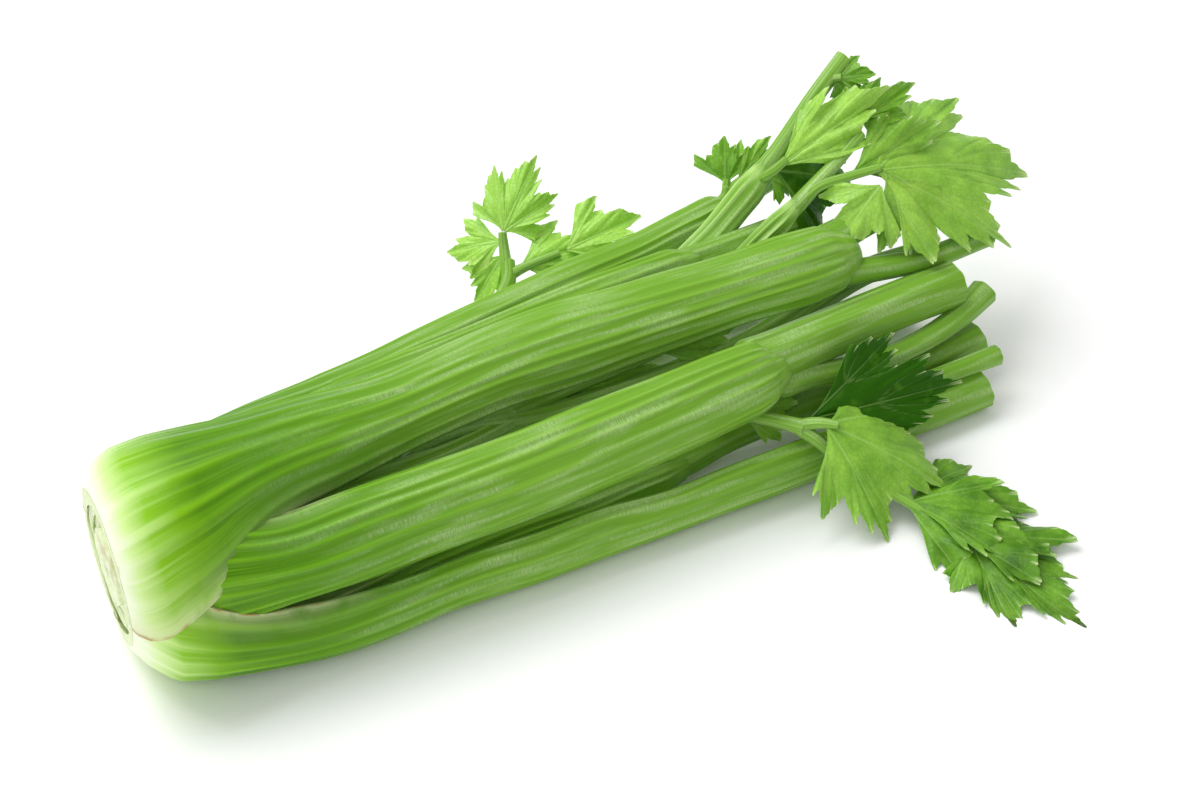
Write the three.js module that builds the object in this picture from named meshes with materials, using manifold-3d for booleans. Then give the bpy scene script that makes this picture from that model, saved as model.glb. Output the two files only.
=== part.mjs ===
// A head of celery lying on a table: a cut crown, ribbed stalks whose broad bases wrap round one another,
// and toothed leaves at their tops. Millimetres, +Z up, +X from the cut crown towards the leaves.
import * as THREE from "three";
import { mergeVertices } from "three/addons/utils/BufferGeometryUtils.js";
import Module from "manifold-3d";

const wasm = await Module();
wasm.setup();

const DEGREE = Math.PI / 180;

// Driving dimensions, in millimetres.
const AXIS_HEIGHT = 43; // the head's middle line over the table
// Distance from the cut and radius.
const HEAD_PROFILE = [[0, 31], [5, 37.5], [12, 41.5], [26, 43.5], [52, 43], [80, 42]];
// Radius and distance from the cut.
const CROWN_PROFILE = [[0, 0], [15, 0], [15, 5], [11, 13], [5, 20], [0, 22]];
const CROWN_SIDES = 16;
const SHEATH = 6.5; // thickness of a stalk's broad base
const BASE_STATIONS = [7, 17, 31, 48, 64]; // distances from the cut where a base is drawn
const BASE_END = 74; // where a stalk has left the others and is a stalk alone
const LEAN_END = 14; // where a base has its whole lean
const INNER_TUCK = 12; // a stalk tucked deeper than this starts past the cut, on the crown's shoulder
const INNER_START = 3; // least distance from the cut at which such a stalk starts
const CROWN_SLOPE = 0.9; // how much further it starts for each further millimetre of tuck
const WRAP_LOSS = 0.35; // share of its wrap that a base loses before it is a stalk alone
const RIB_HEIGHT = 0.8;
const BASE_RIB_SHARE = 0.25; // how much of a rib's height stands at the cut
const RIB_FADE = 45; // distance over which the ribs rise from the cut
const KNUCKLE_FADE = 14; // distance over which they end at the knuckle
const KNUCKLE_RIB = 0.1; // share of a rib's height left at the knuckle
const SHOULDER = 11; // length over which a stalk narrows past its last row
const SHOULDER_TAPER = 0.62; // size of the section at the shoulder's end
const EDGE = 2.2; // thickness of a stalk's two long edges
const EDGE_SHARE = 0.28; // and at most this share of its radius
const FRONT_POINTS = 5; // points across the hollow side of a stalk
const TANGENT_REACH = 4; // a direction is measured over this much to each side
const STATION_GAP = 62; // longest straight stretch between two drawn sections
const STEM_SIDES = 8; // sides of a stalk's cut stem
const TWIG_SIDES = 5; // sides of a leaf's own stem
const LOBE_FAN = { 3: 42, 5: 36 }; // degrees from one lobe of a leaflet to the next
const LOBE_REACH = [1, 0.84, 0.6]; // length of the middle lobe, those beside it and the outermost
const LOBE_NOTCH = 0.64; // where the cut between two lobes ends, as a share of a lobe
const TOOTH_NOTCH = 0.88; // the cut between two teeth, as a share of the tooth before it
const TOOTH_DROP = { 1: 0.17, 2: 0.11 }; // how much shorter each next tooth is, by teeth down a side
const INNER_RIM = 0.5; // a leaflet's inner ring of points, as a share of its reach
const BLADE = 0.9; // thickness of a leaf
const CLEARANCE = 0.45; // gap kept where one piece presses on another
const SMOOTHED = 0.08; // bumps lower than this go after a cut
const MERGE = 1e-3; // points nearer than this are one
const TABLE_SIZE = 1200;

const LOOKS = {
  crown: { color: 0xe9f0cf, roughness: 0.55, metalness: 0 },
  stalk: { color: 0x7cb342, roughness: 0.42, metalness: 0 },
  heart: { color: 0x9ccc4f, roughness: 0.42, metalness: 0 },
  leaf: { color: 0x4c9a2a, roughness: 0.5, metalness: 0 },
};

// Each stalk grows at an angle round the head's middle line (seat: 0 is +Y, 90 is up), tucked some
// millimetres under the head's outside. Its base reaches as many degrees to each side as wrap says. Then it
// follows its route: x, y, z of the middle of its bend, radius of its back, half its angle, thickness, and
// the way its back faces. The last row is the knuckle, where the ribs stop. Stems go on from there: x, y, z
// and radius.
const STALKS = [
  {
    name: "stalk_top", seat: 100, tuck: 0, wrap: 88, ribs: 10,
    route: [
      [78, 9, 60.5, 21, 84, 9, 108], [122, 16, 60, 17.6, 84, 10, 112], [168, 25, 60, 17, 84, 10.5, 116],
      [215, 28, 60, 17, 84, 10.5, 118], [262, 30, 60, 16.5, 84, 11, 120], [300, 31.5, 60, 15.8, 84, 12, 120],
      [319, 33.3, 60, 14.5, 84, 13, 120],
    ],
    stems: [
      [[315, 27, 57, 6.5], [331, 27, 54.5, 5.4], [361, 26, 52, 4.8], [394, 32, 50, 5]],
      [[313, 37, 64, 8.5], [330, 42, 65, 6.8], [352, 48, 64, 5.6], [366, 53, 63, 5.4]],
    ],
  },
  {
    name: "stalk_front", seat: 214, tuck: 0.8, wrap: 68, ribs: 8, lean: [-4, -4],
    route: [
      [78, -29.5, 15.4, 15, 88, 8.5, 208], [104, -28, 14.8, 14.8, 88, 9, 206],
      [140, -26.5, 14.5, 14.8, 88, 9, 204], [184, -24.8, 13.9, 14.2, 88, 9, 204],
      [228, -23, 13.3, 13.6, 88, 9, 203], [275, -20, 12.7, 13, 88, 9.5, 202],
      [300, -18, 11.8, 11.8, 88, 10.5, 202],
    ],
    stems: [
      [[295, -19, 11, 9.8], [312, -17.5, 10.4, 9], [340, -15.5, 9.8, 9], [368, -12.5, 9.4, 9.2]],
      [[296, -17, 18, 5], [315, -15, 22, 4], [345, -12.5, 22, 3.8], [376, -10, 21.5, 4.4]],
    ],
  },
  {
    name: "stalk_rear", seat: 328, tuck: 0.8, wrap: 62, ribs: 6, lean: [3, -3],
    route: [
      [78, 35, 14, 13.6, 88, 8.5, 332], [104, 41, 12.4, 12.4, 88, 9, 336], [150, 52, 11.8, 12, 88, 9, 338],
      [205, 64, 11.7, 12, 88, 9, 340], [255, 76, 11.6, 11.8, 88, 9, 342], [290, 84, 11.2, 10.8, 88, 10, 342],
    ],
    stems: [
      [[284, 83, 11, 8.6], [300, 87, 10.5, 7.6], [328, 91, 9.5, 7.2], [362, 92, 8.5, 7.4]],
      [[284, 79, 16, 5], [302, 79, 20, 4], [328, 76, 23, 3.6], [352, 74, 25, 3.8]],
    ],
  },
  {
    name: "stalk_middle", seat: 158, tuck: 7.2, wrap: 62, ribs: 9,
    route: [
      [78, -23, 45, 18, 82, 9, 156], [107, -21, 45, 17, 84, 10, 154], [148, -19, 45, 17, 84, 10.5, 152],
      [192, -14, 45, 17, 84, 10.5, 150], [230, -9.5, 45, 16.5, 84, 11, 148],
      [256, -5.5, 45, 15.6, 84, 12, 148], [268, -3, 45, 14, 84, 12.5, 148],
    ],
    stems: [
      [[259, -2, 46.5, 13], [277, 1, 47, 10.6], [330, 10, 45.5, 9.8], [368, 16.5, 43, 10]],
      [[270, -7, 39, 6.5], [288, -6, 37.5, 5], [318, -6, 35, 4.5],
        [342, -2, 34, 4.6], [366, 6, 34, 5], [383, 14, 36, 6]],
    ],
  },
  {
    name: "stalk_back", seat: 42, tuck: 7.2, wrap: 56, ribs: 7,
    route: [
      [78, 33, 54, 14, 84, 8, 62], [104, 42, 52, 12, 86, 8, 72], [145, 55, 50, 11.2, 86, 8.5, 80],
      [200, 69, 49, 11, 86, 8.5, 86], [250, 81, 47, 10.8, 86, 8.5, 88], [286, 92, 46, 10.2, 86, 9, 90],
      [302, 97, 46, 9, 86, 9, 90],
    ],
    stems: [
      [[296, 96, 47, 6.5], [310, 100, 48.5, 4.8], [328, 106, 50, 4.4], [344, 110, 50, 4.4]],
      [[298, 96, 50, 4], [304, 99, 53, 3], [306, 101, 57, 2.4]],
    ],
  },
  {
    name: "stalk_low", seat: 262, tuck: 8, wrap: 46, ribs: 7,
    route: [
      [82, -13, 15, 12.6, 84, 8, 250], [112, -9, 12, 11.4, 86, 8.5, 236],
      [152, -7.5, 11.4, 11.2, 86, 8.5, 218],
      [192, -7.5, 11.2, 11, 86, 8.5, 208], [214, -6.5, 11, 10.6, 86, 9, 204],
      [225, -5.5, 11, 9.4, 86, 9, 204],
    ],
    stems: [
      [[218, -5, 11, 8.4], [234, -3, 11, 7.2], [260, 2, 12, 6.8], [300, 3, 15, 6.6], [340, 1, 18, 6.6],
        [377, 7, 19, 7]],
    ],
  },
  {
    name: "stalk_under", seat: 300, tuck: 8.6, wrap: 36, ribs: 5,
    route: [
      [82, 13, 15, 12.5, 84, 8, 292], [115, 20, 12, 11.6, 86, 8.5, 282], [165, 29, 11.6, 11.4, 86, 8.5, 274],
      [215, 37, 11.4, 11.2, 86, 8.5, 272], [262, 45, 11.4, 11, 86, 8.5, 270],
      [288, 49, 11.2, 9.8, 86, 9, 270],
    ],
    stems: [
      [[281, 48, 11, 7.6], [300, 51, 10.6, 6.4], [330, 51, 10, 6], [370, 47, 9, 6]],
    ],
  },
  {
    name: "stalk_inner", seat: 76, tuck: 15, wrap: 36, ribs: 5,
    route: [
      [90, 32, 55, 10, 82, 7, 74], [140, 41, 57, 9, 84, 7.5, 88], [190, 48, 58, 8.8, 84, 7.5, 92],
      [235, 54, 58, 8.8, 84, 8, 94], [262, 57, 58, 8.4, 84, 8, 94],
    ],
    stems: [
      [[254, 57, 58, 7.2], [272, 59, 58, 6.2], [300, 62, 58, 6], [326, 66, 57, 6]],
    ],
  },
  {
    name: "stalk_slim", seat: 6, tuck: 17, wrap: 38, ribs: 4,
    route: [
      [84, 34, 37, 7, 82, 6, 10], [115, 50, 35, 5.6, 84, 6, 20], [155, 68, 33.5, 5, 84, 6, 40],
      [182, 81, 36, 4.8, 84, 6, 60],
    ],
    stems: [
      [[178, 79, 36, 4], [190, 86, 38.5, 3.4], [200, 95, 43, 3.2], [204, 104, 47, 3]],
    ],
  },
  {
    name: "heart_tall", seat: 20, tuck: 21, wrap: 60, ribs: 4, look: "heart",
    route: [
      [84, 20, 40, 8, 80, 6, 40], [140, 34, 36, 6.8, 84, 6, 60], [204, 50, 34, 6.6, 84, 6, 80],
      [253, 63, 41, 6.6, 84, 6.5, 96], [283, 70, 58, 6.8, 84, 7, 110], [306, 76, 76, 6.8, 84, 7.5, 118],
    ],
    stems: [
      [[303, 75, 74, 5.6], [317, 79.5, 85, 4], [337, 87, 101.5, 3.7], [354, 92.5, 114, 3.9]],
    ],
  },
  {
    name: "heart_mid", seat: 140, tuck: 21, wrap: 60, ribs: 4, look: "heart",
    route: [
      [84, 4, 40, 7.5, 80, 6, 120], [140, 12, 34, 6.2, 84, 6, 100], [200, 28, 33, 6, 84, 6, 90],
      [256, 46, 37, 5.6, 84, 6, 100], [290, 52, 58, 5, 84, 6, 120], [310, 55, 72, 4.6, 84, 6, 128],
    ],
    stems: [
      [[307, 54, 70, 4], [321, 57, 79, 3.4], [335, 60, 88, 2.8], [347, 63, 96, 2.2]],
    ],
  },
  {
    name: "heart_front", seat: 236, tuck: 21, wrap: 50, ribs: 4, look: "heart",
    route: [
      [84, 2, 26, 7, 80, 6, 230], [130, 6, 27, 5.4, 84, 5.5, 200], [180, 9, 27, 5, 84, 5.5, 170],
      [222, 9, 25.5, 4.6, 84, 5.5, 150],
    ],
    stems: [
      [[218, 9, 25.5, 4], [240, 6, 25.5, 3.2], [254, -4, 28.5, 2.9], [266, -18, 31.5, 2.8],
        [274, -28, 32.5, 3.4]],
    ],
  },
  {
    name: "heart_small", seat: 330, tuck: 22, wrap: 50, ribs: 3, look: "heart",
    route: [
      [84, 12, 26, 6.5, 80, 6, 330], [130, 20, 30, 5.2, 84, 5.5, 20], [170, 22, 37, 4.8, 84, 5.5, 100],
    ],
    stems: [
      [[166, 22, 37, 4], [190, 22, 42, 3], [214, 23, 44, 2.4], [236, 24, 46, 1.8]],
      [[160, 22, 36, 4], [185, 17, 37, 4.4], [250, 19, 37.5, 5.2], [284, 24.6, 38, 5.6], [335, 40, 41, 5.4],
        [366, 43, 41, 5.2]],
    ],
  },
];

// Leaf sprays: stems as rows of x, y, z, radius, and leaflets, each with its hub, its tip, the way its upper
// side looks, its lobes, its breadth for its length, and how it bends along (droop) and across (cup). A
// leaflet's own notch and teeth take the place of the common ones.
const SPRAYS = [
  {
    name: "leaf_front",
    stems: [
      [[270, -23, 32, 2.6], [277, -32, 29, 2.6], [289, -44, 17, 2.1], [304, -64, 9.5, 1.8],
        [316, -90, 6, 1.5], [322, -108, 4.5, 1.2]],
      [[272, -26, 33, 2.6], [279, -31, 35.5, 2.2], [286, -36, 35.5, 1.6]],
    ],
    leaflets: [
      { hub: [277, -26, 34], tip: [345, -38, 39], face: [-0.1, -0.75, 0.6], lobes: 3, breadth: 0.66,
        notch: 0.86, teeth: 2, droop: 0.3, cup: 0.3 },
      { hub: [281, -33, 36], tip: [326, -66, 17], face: [-0.1, -0.3, 0.95], lobes: 5, breadth: 1.1,
        notch: 0.76, teeth: 2, droop: 0.4, cup: 0.5 },
      { hub: [303, -62, 10.5], tip: [353, -80, 10], face: [0, 0.1, 1], lobes: 3, breadth: 1.05,
        notch: 0.8, teeth: 2, droop: 0.2, cup: 0.3 },
      { hub: [302, -62, 10.5], tip: [336, -102, 11], face: [-0.2, -0.2, 1], lobes: 3, breadth: 0.8,
        notch: 0.8, droop: 0.3, cup: 0.4 },
      { hub: [313, -84, 7.5], tip: [356, -104, 6], face: [0, 0.15, 1], lobes: 3, breadth: 0.9,
        notch: 0.74, droop: 0.2, cup: 0.2 },
      { hub: [316, -88, 6.5], tip: [335, -143, 2.2], face: [0, 0, 1], lobes: 5, breadth: 0.66,
        notch: 0.8, teeth: 2, droop: 0.1, cup: 0.2 },
      { hub: [256, -6, 29], tip: [284, -9, 28], face: [-0.3, -0.7, 0.6],
        lobes: 3, breadth: 0.9, droop: 0.3, cup: 0.4 },
    ],
  },
  {
    name: "leaf_crest",
    stems: [
      [[314, 55, 74, 2.6], [323, 55, 81, 2.2], [335, 52, 84.5, 2], [350, 48, 88, 1.8]],
    ],
    leaflets: [
      { hub: [346, 48, 87], tip: [433, 43, 79], face: [-0.2, -0.45, 0.9],
        lobes: 5, breadth: 0.84, notch: 0.7, droop: 0.5, cup: 0.5, teeth: 2 },
      { hub: [337, 52, 85.5], tip: [384, 54, 99], face: [-0.3, -0.75, 0.55],
        lobes: 3, breadth: 0.55, notch: 0.8, droop: 0.4, cup: 0.8 },
      { hub: [350, 46, 87], tip: [361, 15, 58], face: [0.05, -0.75, 0.65],
        lobes: 3, breadth: 0.75, droop: 0.5, cup: 0.5 },
      { hub: [345, 41, 85], tip: [322, 32, 71], face: [-0.3, -0.6, 0.75],
        lobes: 3, breadth: 1.2, droop: 0.5, cup: 0.4 },
    ],
  },
  {
    name: "leaf_tall",
    stems: [
      [[306, 72, 79, 2.6], [309, 69, 84, 2], [316, 68, 90, 1.6]],
      [[345, 89, 108, 2.4], [350, 85, 110, 1.5]],
    ],
    leaflets: [
      { hub: [311, 68, 86], tip: [359, 63, 119], face: [-0.45, -0.6, 0.6],
        lobes: 3, breadth: 0.46, notch: 0.86, droop: 0.5, cup: 0.9 },
      { hub: [308, 69, 82], tip: [322, 62, 74], face: [-0.3, -0.6, 0.7],
        lobes: 3, breadth: 0.8, droop: 0.9, cup: 0.5 },
      { hub: [311, 69, 84], tip: [353, 68, 69], face: [-0.3, -0.65, 0.7],
        lobes: 3, breadth: 1.1, notch: 0.84, droop: 0.3, cup: 0.4 },
      { hub: [348, 86, 109], tip: [362, 79, 112], face: [-0.3, -0.7, 0.6],
        lobes: 3, breadth: 1, droop: 0.4, cup: 0.4 },
      { hub: [347, 87, 108], tip: [352, 80, 100], face: [-0.3, -0.6, 0.6],
        lobes: 3, breadth: 0.9, droop: 0.4, cup: 0.4 },
    ],
  },
  {
    name: "leaf_mid",
    stems: [
      [[342, 62, 93, 2.2], [349, 68, 100, 1.5]],
    ],
    leaflets: [
      { hub: [347, 67, 99], tip: [378, 71, 109], face: [-0.3, -0.7, 0.6],
        lobes: 3, breadth: 0.55, droop: 0.3, cup: 0.5 },
      { hub: [346, 67, 99], tip: [363, 78, 112], face: [-0.3, -0.6, 0.7],
        lobes: 3, breadth: 0.8, droop: 0.4, cup: 0.4 },
    ],
  },
  {
    name: "leaf_back",
    stems: [
      [[305, 101, 55, 2.2], [307, 104, 60, 1.5]],
      [[306, 101, 55, 2.2], [313, 101, 60, 1.4]],
    ],
    leaflets: [
      { hub: [306, 103, 57], tip: [309, 111, 76], face: [-0.3, -0.7, 0.5],
        lobes: 3, breadth: 1.15, droop: 0.4, cup: 0.3 },
      { hub: [311, 101, 58], tip: [328, 104, 75.5], face: [-0.3, -0.7, 0.5],
        lobes: 3, breadth: 0.7, droop: 0.4, cup: 0.4 },
    ],
  },
  {
    name: "leaf_slim",
    stems: [
      [[202, 101, 45, 2.8], [204, 108, 51, 2.2], [205, 112, 58, 1.7]],
      [[200, 98, 44, 2.6], [210, 98, 47, 2], [226, 95, 52, 1.5]],
    ],
    leaflets: [
      { hub: [205, 111, 57], tip: [226, 122, 84], face: [-0.35, -0.75, 0.5],
        lobes: 5, breadth: 0.85, droop: 0.3, cup: 0.5, teeth: 2 },
      { hub: [204, 110, 54], tip: [181, 120, 50], face: [-0.1, -0.6, 0.75],
        lobes: 3, breadth: 0.95, droop: 0.5, cup: 0.4 },
      { hub: [203, 106, 50], tip: [186, 100, 35], face: [-0.45, -0.6, 0.5],
        lobes: 3, breadth: 0.95, droop: 0.3, cup: 0.4 },
      { hub: [207, 99, 47], tip: [239, 91, 57], face: [-0.3, -0.6, 0.7],
        lobes: 3, breadth: 0.8, droop: 0.6, cup: 0.7 },
      { hub: [226, 95, 52], tip: [263, 96, 60], face: [-0.3, -0.6, 0.7],
        lobes: 3, breadth: 0.75, droop: 0.2, cup: 0.4 },
    ],
  },
  {
    name: "leaf_small",
    stems: [
      [[210, 23, 44, 2], [222, 23, 46, 1.5], [240, 23, 47, 1.2]],
    ],
    leaflets: [
      { hub: [196, 21, 43], tip: [236, 20, 42], face: [-0.3, -0.7, 0.6],
        lobes: 3, breadth: 0.5, droop: 0.3, cup: 0.7 },
      { hub: [236, 23, 46], tip: [270, 18, 54], face: [-0.3, -0.7, 0.6],
        lobes: 3, breadth: 0.7, droop: 0.3, cup: 0.5 },
    ],
  },
];

const smoothstep = (t) => THREE.MathUtils.smoothstep(t, 0, 1);

// The row at x on the smooth curve through all rows, and on a straight line past the first.
function rowAt(rows, x) {
  const last = rows.length - 1;
  const found = rows.findIndex((row) => row[0] > x);
  const i = found < 0 ? last - 1 : Math.max(0, found - 1);
  const t = (x - rows[i][0]) / (rows[i + 1][0] - rows[i][0]);
  return mixedRow(rows, i, t);
}

// The row a share t of the way from row i to the next, by a curve that passes through every row.
function mixedRow(rows, i, t) {
  const last = rows.length - 1;
  return rows[i].map((b, c) => {
    const d = rows[i + 1][c];
    if (t < 0) return b + (d - b) * t;
    const a = i > 0 ? rows[i - 1][c] : 2 * b - d;
    const e = i + 1 < last ? rows[i + 2][c] : 2 * d - b;
    const [slopeIn, slopeOut] = [(d - a) / 2, (e - b) / 2];
    const cubic = 2 * b - 2 * d + slopeIn + slopeOut;
    const square = -3 * b + 3 * d - 2 * slopeIn - slopeOut;
    return ((cubic * t + square) * t + slopeIn) * t + b;
  });
}

const placeOf = ([x, y, z]) => new THREE.Vector3(x, y, z);
const directionOf = (from, to) => placeOf(to).sub(placeOf(from)).normalize();

function radiusAt(profile, x) {
  const i = Math.max(1, profile.findIndex(([px]) => px >= x));
  const [[x0, r0], [x1, r1]] = [profile[i - 1], profile[i]];
  return r0 + ((r1 - r0) * (x - x0)) / (x1 - x0);
}

// A closed geometry as a solid, with the points that lie together made one.
function solidOf(geometry) {
  geometry.deleteAttribute("normal");
  geometry.deleteAttribute("uv");
  const merged = mergeVertices(geometry, MERGE);
  const vertProperties = new Float32Array(merged.attributes.position.array);
  const triVerts = new Uint32Array(merged.index.array);
  return new wasm.Manifold(new wasm.Mesh({ numProp: 3, vertProperties, triVerts }));
}

function geometryOf(solid) {
  const { vertProperties, triVerts } = solid.getMesh();
  const geometry = new THREE.BufferGeometry();
  geometry.setAttribute("position", new THREE.BufferAttribute(new Float32Array(vertProperties), 3));
  geometry.setIndex(new THREE.BufferAttribute(new Uint32Array(triVerts), 1));
  return geometry;
}

function solidFrom(points, triangles) {
  const vertProperties = new Float32Array(points.flatMap((p) => [p.x, p.y, p.z]));
  const triVerts = new Uint32Array(triangles.flat());
  return new wasm.Manifold(new wasm.Mesh({ numProp: 3, vertProperties, triVerts }));
}

// A closed solid through rings of points. Each ring has as many points, and outline is the ring laid flat.
function loft(rings, outline) {
  const n = rings[0].length;
  const triangles = [];
  for (let i = 0; i < rings.length - 1; i += 1) {
    for (let j = 0; j < n; j += 1) {
      const [a, b] = [i * n + j, i * n + ((j + 1) % n)];
      triangles.push([a, b, a + n], [b, b + n, a + n]);
    }
  }
  const end = (rings.length - 1) * n;
  const cap = THREE.ShapeUtils.triangulateShape(outline.map(([o, s]) => new THREE.Vector2(o, s)), []);
  cap.forEach(([a, b, c]) => triangles.push([c, b, a], [end + a, end + b, end + c]));
  return solidFrom(rings.flat(), triangles);
}

// Places a flat [outward, sideways] point at centre, square to the tangent, with outward turned to facing.
function placer(centre, tangent, facing) {
  const outward = new THREE.Vector3(0, Math.cos(facing * DEGREE), Math.sin(facing * DEGREE));
  outward.addScaledVector(tangent, -outward.dot(tangent)).normalize();
  const sideways = new THREE.Vector3().crossVectors(tangent, outward);
  return ([o, s]) => centre.clone().addScaledVector(outward, o).addScaledVector(sideways, s);
}

// A stalk's section as [outward, sideways] points: a ribbed round back, two thin edges and a hollow front.
function stalkOutline(radius, half, thickness, ribs, ribHeight, grow) {
  const steps = grow ? ribs : 2 * ribs;
  const reach = half * DEGREE + grow / radius;
  const chord = grow ? 1 / Math.cos(reach / steps) : 1;
  const back = Array.from({ length: steps + 1 }, (_, i) => {
    const angle = -reach + (2 * reach * i) / steps;
    const r = grow ? (radius + ribHeight + grow) * chord : radius + (i % 2 ? ribHeight : 0);
    return [r * Math.cos(angle), r * Math.sin(angle)];
  });
  const lip = radius * Math.cos(reach) - grow;
  const middle = radius - thickness - grow;
  const span = radius * Math.sin(reach) - Math.min(EDGE, EDGE_SHARE * radius) - grow;
  const front = Array.from({ length: FRONT_POINTS }, (_, i) => {
    const across = 1 - (2 * i) / (FRONT_POINTS - 1);
    return [lip + (middle - lip) * (1 - across ** 2), span * across];
  });
  return [...back, ...front];
}

// Where a stalk's sections are drawn, along X.
function stalkStations({ tuck, route }) {
  const start = tuck < INNER_TUCK ? 0 : CROWN_SLOPE * (tuck - INNER_TUCK) + INNER_START;
  const stations = [start, ...BASE_STATIONS.filter((x) => x > start + INNER_START)];
  route.forEach(([x], i) => {
    const before = i > 0 ? route[i - 1][0] : x;
    if (x - before > STATION_GAP) stations.push((x + before) / 2);
    stations.push(x);
  });
  return stations;
}

// A stalk without its stems. Near the cut its section is an arc of the head, further on its route's own.
function stalkBody({ seat, tuck, wrap, ribs, route, lean = [0, 0] }, grow) {
  const stations = stalkStations({ tuck, route });
  const [start, knuckle] = [stations[0], stations[stations.length - 1]];
  stations[0] -= grow;
  const along = new THREE.Vector3(1, 0, 0);
  const rings = stations.map((x) => {
    const row = rowAt(route, x);
    const after = rowAt(route, Math.min(knuckle, x + TANGENT_REACH));
    const tangent = directionOf(rowAt(route, x - TANGENT_REACH), after);
    const rise = BASE_RIB_SHARE + (1 - BASE_RIB_SHARE) * Math.min(1, (x - start) / RIB_FADE);
    const ribHeight = RIB_HEIGHT * Math.min(rise, (knuckle - x) / KNUCKLE_FADE + KNUCKLE_RIB);
    const own = stalkOutline(row[3], row[4], row[5], ribs, ribHeight, grow)
      .map(placer(new THREE.Vector3(x, row[1], row[2]), tangent, row[6]));
    if (x >= BASE_END) return own;
    const share = Math.min(1, x / LEAN_END);
    const half = wrap * (1 - WRAP_LOSS * smoothstep(x / BASE_END));
    const centre = new THREE.Vector3(x, lean[0] * share, AXIS_HEIGHT + lean[1] * share);
    const base = stalkOutline(radiusAt(HEAD_PROFILE, x) - tuck, half, SHEATH, ribs, ribHeight, grow)
      .map(placer(centre, along, seat));
    const turned = smoothstep(x / BASE_END);
    return base.map((p, i) => p.lerp(own[i], turned));
  });
  const end = rowAt(route, knuckle);
  const tangent = directionOf(rowAt(route, knuckle - TANGENT_REACH), end);
  const tip = placeOf(end).addScaledVector(tangent, SHOULDER + grow);
  const outline = stalkOutline(SHOULDER_TAPER * end[3], end[4], SHOULDER_TAPER * end[5], ribs, 0, grow);
  rings.push(outline.map(placer(tip, tangent, end[6])));
  return loft(rings, outline);
}

// A smooth stem through rows of x, y, z, radius, cut square at its end.
function stemBody(rows, sides, grow) {
  const between = (row, i) => (sides === TWIG_SIDES ? [row] : [row, mixedRow(rows, i, 0.5)]);
  const drawn = rows.slice(0, -1).flatMap(between);
  drawn.push(rows[rows.length - 1]);
  const last = drawn.length - 1;
  const outlineOf = (radius) => Array.from({ length: sides }, (_, j) => {
    const angle = (2 * Math.PI * j) / sides;
    return [radius * Math.cos(angle), radius * Math.sin(angle)];
  });
  const rings = drawn.map((row, i) => {
    const tangent = directionOf(drawn[Math.max(0, i - 1)], drawn[Math.min(last, i + 1)]);
    const centre = placeOf(row);
    if (i === 0) centre.addScaledVector(tangent, -grow);
    if (i === last) centre.addScaledVector(tangent, grow);
    return outlineOf(row[3] + grow).map(placer(centre, tangent, 90));
  });
  return loft(rings, outlineOf(1));
}

// The rim of a leaflet as angle and reach from its hub: lobes that fan out, each with teeth down both sides.
function leafletRim({ lobes, teeth = 1, notch = LOBE_NOTCH }) {
  const fan = LOBE_FAN[lobes];
  const outermost = (lobes - 1) / 2;
  const rim = [];
  for (let lobe = -outermost; lobe <= outermost; lobe += 1) {
    const longest = LOBE_REACH[Math.abs(lobe)];
    const beside = Math.abs(lobe) === 2 ? 1 : teeth;
    const step = fan / (2 * beside + 1);
    for (let tooth = -beside; tooth <= beside; tooth += 1) {
      const peak = longest * (1 - TOOTH_DROP[beside] * Math.abs(tooth));
      const angle = (lobe * fan + tooth * step) * DEGREE;
      rim.push({ angle, reach: peak });
      if (tooth === beside && lobe === outermost) break;
      const low = tooth === beside ? notch * longest : TOOTH_NOTCH * peak;
      rim.push({ angle: angle + (step / 2) * DEGREE, reach: low });
    }
  }
  return rim;
}

// A toothed leaflet as a thin bent blade.
function leafletBody(spec, grow) {
  const { hub, tip, face, breadth, droop, cup } = spec;
  const start = new THREE.Vector3(...hub);
  const aim = new THREE.Vector3(...tip).sub(start);
  const length = aim.length();
  aim.normalize();
  const up = new THREE.Vector3(...face);
  up.addScaledVector(aim, -up.dot(aim)).normalize();
  const side = new THREE.Vector3().crossVectors(up, aim);
  const sheet = (reach, angle) => {
    const along = reach * Math.cos(angle);
    const across = reach * Math.sin(angle) * breadth;
    const turn = 2 * cup;
    const sink = (1 - Math.cos(droop * along)) / droop + (1 - Math.cos(turn * across)) / turn;
    return start.clone()
      .addScaledVector(aim, (length * Math.sin(droop * along)) / droop)
      .addScaledVector(side, (length * Math.sin(turn * across)) / turn)
      .addScaledVector(up, -length * sink);
  };
  const wider = (2 * grow) / length;
  const rim = leafletRim(spec).map(({ angle, reach }) => ({ angle, reach: reach + wider }));
  const middle = [start.clone().addScaledVector(aim, -2 * grow)];
  const outer = rim.map(({ reach, angle }) => middle.push(sheet(reach, angle)) - 1);
  const peaks = rim.filter((_, i) => i % 2 === 0);
  const inner = peaks.map(({ reach, angle }) => middle.push(sheet(INNER_RIM * reach, angle)) - 1);
  const faces = inner.slice(0, -1).flatMap((ring, i) => {
    const [peak, notch, nextPeak, next] = [outer[2 * i], outer[2 * i + 1], outer[2 * i + 2], inner[i + 1]];
    return [[0, ring, next], [ring, peak, notch], [ring, notch, next], [next, notch, nextPeak]];
  });
  return blade(middle, faces, [0, inner[0], ...outer, inner[inner.length - 1]], BLADE + 3 * grow);
}

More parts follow.
